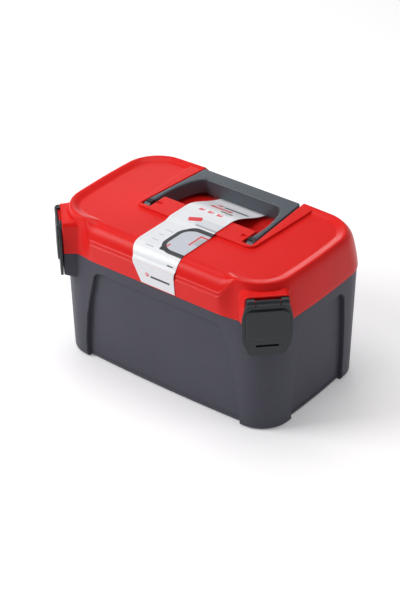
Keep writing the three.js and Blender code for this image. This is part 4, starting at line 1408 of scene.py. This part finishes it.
class Print:
    """Soft-edged shapes in the card's own plan, in millimetres."""

    def __init__(self, sheet):
        self.sheet = sheet
        plan = sheet.node("ShaderNodeUVMap", {"uv_map": "print"}).outputs[0]
        self.flat = sheet.node("ShaderNodeVectorMath", {"operation": "SCALE"}, plan, Scale=1000.0).outputs[0]

    def local(self, x, y, turn=0.0):
        """Plan coordinates about a point, turned by degrees."""
        place = self.sheet.node("ShaderNodeMapping", {"vector_type": "TEXTURE"}, self.flat,
                                Location=(x, y, 0.0), Rotation=(0.0, 0.0, math.radians(turn)))
        split = self.sheet.node("ShaderNodeSeparateXYZ", None, place.outputs[0])
        return Value(self.sheet, split.outputs[0]), Value(self.sheet, split.outputs[1])

    def box(self, x, y, half_x, half_y, turn=0.0, radius=0.2):
        """1 inside a rounded box, 0 outside."""
        return 1 - self.distance(x, y, half_x, half_y, turn, radius).rises(-0.12, 0.12)

    def distance(self, x, y, half_x, half_y, turn=0.0, radius=0.2):
        u, v = self.local(x, y, turn)
        over_x = (abs(u) - (half_x - radius)).most(0.0)
        over_y = (abs(v) - (half_y - radius)).most(0.0)
        return (over_x * over_x + over_y * over_y) ** 0.5 - radius

    def outline(self, x, y, half_x, half_y, turn, radius, width):
        far = abs(self.distance(x, y, half_x, half_y, turn, radius))
        return 1 - far.rises(width / 2 - 0.1, width / 2 + 0.1)


def print_marks(ink, white, red):
    """The sleeve's print in the order it is laid down, as (mask, colour)."""
    dark, grey, pale = (0.02, 0.02, 0.024), (0.36, 0.37, 0.40), (0.62, 0.64, 0.68)
    blue_grey, dim, pink = (0.52, 0.54, 0.60), (0.40, 0.41, 0.43), (0.82, 0.50, 0.50)
    foot, head = card_mark(205, 1), card_mark(-12)
    middle = (card_mark(-107) + card_mark(-43)) / 2
    marks = [(ink.outline(0, (foot + head) / 2, 33.5, (head - foot) / 2, 0, 1.5, 0.4), pink)]

    def stamp(colour, x, y, half_x, half_y, turn=0.0, radius=0.2):
        marks.append((ink.box(x, y, half_x, half_y, turn, radius), colour))

    stamp(red, -8.5, card_mark(188.5, 1), 2.6, 2.8, -8, 0.8)
    stamp(white, -8.8, card_mark(188.7, 1), 1.0, 1.0, 40, 0.2)
    stamp(dark, 13.0, card_mark(187.3, 1), 16.0, 1.7, 0, 0.7)
    stamp(dark, 27, card_mark(212, 1), 4.8, 0.8)
    for y, wide in zip((-108, -93.5, -79.5, -65.8), (7.0, 5.0, 3.7, 6.5)):
        stamp(grey, wide - 22.5, card_mark(y), wide, 0.6)
    stamp(blue_grey, 30, middle, 32, 31, 0, 20)
    stamp(dim, 36, card_mark(-66), 6.5, 9, 0, 1)
    marks.append((ink.outline(30, middle, 33, 31.5, 0, 20, 6.4), dark))
    stamp(dark, 4, card_mark(-104), 4.2, 4.0, 0, 1.2)
    stamp(red, 5.6, card_mark(-95), 1.2, 4.4, 0, 0.5)
    stamp(red, 26.6, card_mark(-66), 1.4, 13.5, 0, 0.5)
    stamp(red, 33, card_mark(-53), 7.5, 1.6, 0, 0.5)
    stamp(pale, 21, card_mark(-28), 21, 9.5, 0, 5)
    stamp(dim, 23, card_mark(-36), 19, 2.2, 0, 1)
    stamp(red, -5, card_mark(-25), 9.5, 5.0, 30, 1.6)
    for x in (-14.7, 0.0, 14.9):
        stamp(red, x, card_mark(2.3), 4.2, 3.4, 12, 1.2)
        stamp(white, x + 1.0, card_mark(4.2), 1.6, 0.9, 12, 0.3)
    stamp(dark, 14.5, card_mark(18), 9.5, 2.2, 0, 0.8)
    stamp(grey, 19.4, card_mark(11), 2.6, 0.6, 0, 0.2)
    stamp(red, -2.5, card_mark(29), 17.5, 4.2, 0, 0.4)
    stamp(white, -2.5, card_mark(29), 12.0, 0.7, 0, 0.3)
    stamp(dark, 12, card_mark(43), 20.0, 3.0, 0, 1.0)
    stamp(red, -14.5, card_mark(43), 3.6, 3.6, -8, 0.8)
    return marks


def card_stock():
    """White coated card with a generic print of plain bars, marks and the outline of a lid."""
    finish = sizes("finishes")
    white, red = tuple(finish.card_white), tuple(finish.print_red)
    sheet = Sheet("card_white")
    fibre = sheet.noise(420.0, 4.0, 0.7)
    tone = sheet.blend(fibre.rises(0.4, 0.6), shade(white, 0.975), white)
    for mask, paint in print_marks(Print(sheet), white, red):
        tone = sheet.blend(mask, tone, paint)
    wear = sheet.noise(60.0, 3.0).rises(0.55, 0.75)
    return sheet.surface(Base_Color=tone, Roughness=0.38 + wear * 0.12, Coat_Weight=0.15, Coat_Roughness=0.2,
                         Normal=sheet.bump(fibre, 0.25, 0.00004))


# ---- Stage ----
def make_floor():
    reach = 4
    corners = [(-reach, -reach, 0), (reach, -reach, 0), (reach, reach, 0), (-reach, reach, 0)]
    floor = new_object("floor", corners, [(0, 1, 2, 3)])
    sheet = Sheet("floor")
    tone = sheet.noise(3.0, 2.0)
    sheet.surface(Base_Color=sheet.blend(tone, (0.90, 0.89, 0.90), (0.92, 0.91, 0.92)), Roughness=0.9,
                  Specular_IOR_Level=0.1, Emission_Color=(1.0, 0.985, 1.0), Emission_Strength=0.20)
    floor.data.materials.append(sheet.material)


def make_light(name, place, size, power):
    lamp = bpy.data.lights.new(name, "AREA")
    lamp.shape = "RECTANGLE"
    lamp.size, lamp.size_y = size
    lamp.energy = power
    holder = bpy.data.objects.new(name, lamp)
    bpy.context.scene.collection.objects.link(holder)
    holder.location = place
    holder.rotation_euler = (Vector((0, 0, 0.1)) - Vector(place)).to_track_quat("-Z", "Y").to_euler()


def make_camera():
    """Stands at the front right, looking down on the box."""
    around, up, roll = math.radians(38.39), math.radians(32.59), math.radians(-0.52)
    target, distance = Vector((-0.0113, -0.00895, 0.09018)), 2.4601
    back = Vector((math.sin(around) * math.cos(up), -math.cos(around) * math.cos(up), math.sin(up)))
    camera = bpy.data.cameras.new("camera")
    camera.lens = 107.27
    camera.sensor_width = 36.0
    holder = bpy.data.objects.new("camera", camera)
    bpy.context.scene.collection.objects.link(holder)
    turn = back.to_track_quat("Z", "Y").to_matrix().to_4x4()
    holder.matrix_world = Matrix.Translation(target + back * distance) @ turn @ Matrix.Rotation(roll, 4, "Z")
    bpy.context.scene.camera = holder


def make_world():
    """A dim white surround, shown with plain colours."""
    bpy.context.scene.view_settings.view_transform = "Standard"
    world = bpy.data.worlds.new("studio")
    world.use_nodes = True
    background = world.node_tree.nodes["Background"]
    background.inputs["Color"].default_value = (1.0, 1.0, 1.0, 1.0)
    background.inputs["Strength"].default_value = 0.14
    bpy.context.scene.world = world


# ---- Operators ----
class BuildPiece:
    """What every operator here shares."""

    bl_options = {"REGISTER", "UNDO"}

    def execute(self, context):
        self.build()
        return {"FINISHED"}


class TOOLBOX_OT_body(BuildPiece, bpy.types.Operator):
    """Builds the body with its set-in panels, feet, catches and hinge knuckles"""

    bl_idname = "toolbox.body"
    bl_label = "Body"

    def build(self):
        material = body_plastic()
        finished(make_body(), "body_walls", "body", material, ("body_shell",))
        finished(panel_beads(material), "panel_beads", "body", material)


class TOOLBOX_OT_lid(BuildPiece, bpy.types.Operator):
    """Builds the lid with its crest, rolled front, ledge and handle bay"""

    bl_idname = "toolbox.lid"
    bl_label = "Lid"

    def build(self):
        finished(make_lid(), "lid_skin", "lid", lid_plastic(), ("lid_shell",))


class TOOLBOX_OT_handle(BuildPiece, bpy.types.Operator):
    """Builds the folding handle and the ribbed clips on its legs"""

    bl_idname = "toolbox.handle"
    bl_label = "Handle"

    def build(self):
        finish = sizes("finishes")
        slate = plastic("handle_slate", tuple(finish.handle_slate), 0.42, 1300.0, 0.00006, 0.05)
        finished(make_handle(), "carry_handle", "handle", slate, ("handle",))
        clip = plastic("clip_black", (0.012, 0.012, 0.014), 0.35, 1500.0, 0.00003)
        finished(leg_end_ribs(clip), "leg_clips", "handle", clip)


class TOOLBOX_OT_latches(BuildPiece, bpy.types.Operator):
    """Builds both corner latches and their pins"""

    bl_idname = "toolbox.latches"
    bl_label = "Latches"

    def build(self):
        charcoal = plastic("latch_charcoal", tuple(sizes("finishes").latch_charcoal), 0.42, 1100.0, 0.00007)
        metal = steel()
        for name, side in SIDES:
            latch = "latch_" + name
            finished(make_latch(side), "latch_plate_" + name, latch, charcoal, (latch,))
            finished(make_latch_pin(side), "latch_rod_" + name, "lid", metal,
                     ("latch_pin_" + name,))
            finished(make_hinge_pin(side), "hinge_rod_" + name, "body", metal,
                     ("hinge_pin_" + name,))


class TOOLBOX_OT_tray(BuildPiece, bpy.types.Operator):
    """Builds the lift-out tray with its walls, rib, dividers and handle"""

    bl_idname = "toolbox.tray"
    bl_label = "Tray"

    def build(self):
        finish = sizes("finishes")
        grey = plastic("tray_grey", tuple(finish.tray_grey), 0.45, 1300.0, 0.00005)
        red = plastic("tray_handle_red", tuple(finish.lid_red), 0.40, 1500.0, 0.00004, 0.1)
        finished(make_tray(), "tray_bin", "tray", grey, ("tray",))
        finished(make_tray_rib(), "tray_spine", "tray", grey, ("tray_rib",))
        finished(make_tray_handle(), "tray_grip", "tray", red, ("tray_handle",))
        for name, side in SIDES:
            finished(make_tray_wall(side), "tray_cross_" + name, "tray", grey,
                     ("tray_wall_" + name,))
            finished(make_divider(side), "tray_split_" + name, "tray", grey,
                     ("tray_divider_" + name,))


class TOOLBOX_OT_card(BuildPiece, bpy.types.Operator):
    """Builds the printed card sleeve folded over the lid"""

    bl_idname = "toolbox.card"
    bl_label = "Card sleeve"

    def build(self):
        finished(make_card(), "sleeve", "lid", card_stock(), ("card_sleeve",), 50)


class TOOLBOX_OT_stage(BuildPiece, bpy.types.Operator):
    """Sets up the floor, the lights and the camera"""

    bl_idname = "toolbox.stage"
    bl_label = "Stage"

    def build(self):
        make_floor()
        make_world()
        make_light("overhead", (-0.4, 0.2, 2.6), (2.0, 2.0), 38)
        make_light("left front", (-1.9, -1.7, 1.7), (1.5, 1.3), 60)
        make_light("left back", (-2.2, 2.3, 0.9), (1.2, 0.9), 12)
        make_light("right", (2.0, 0.5, 1.9), (1.2, 1.2), 10)
        make_camera()


STEPS = (TOOLBOX_OT_body, TOOLBOX_OT_lid, TOOLBOX_OT_handle, TOOLBOX_OT_latches, TOOLBOX_OT_tray,
         TOOLBOX_OT_card, TOOLBOX_OT_stage)


class TOOLBOX_PT_panel(bpy.types.Panel):
    """Lists the toolbox's pieces and their sizes"""

    bl_label = "Toolbox"
    bl_idname = "TOOLBOX_PT_panel"
    bl_space_type = "VIEW_3D"
    bl_region_type = "UI"
    bl_category = "Toolbox"

    def draw(self, context):
        for step in STEPS:
            self.layout.operator(step.bl_idname)
        for name in GROUPS:
            box = self.layout.box()
            group = getattr(context.scene, name)
            for key in group.bl_rna.properties.keys():
                if key not in ("rna_type", "name"):
                    box.prop(group, key)


def register():
    for name, group in GROUPS.items():
        bpy.utils.register_class(group)
        setattr(bpy.types.Scene, name, PointerProperty(type=group))
    for step in STEPS:
        bpy.utils.register_class(step)
    bpy.utils.register_class(TOOLBOX_PT_panel)


def unregister():
    bpy.utils.unregister_class(TOOLBOX_PT_panel)
    for step in reversed(STEPS):
        bpy.utils.unregister_class(step)
    for name, group in reversed(GROUPS.items()):
        delattr(bpy.types.Scene, name)
        bpy.utils.unregister_class(group)


def main():
    register()
    for step in STEPS:
        area, name = step.bl_idname.split(".")
        getattr(getattr(bpy.ops, area), name)()


if __name__ == "__main__":
    main()
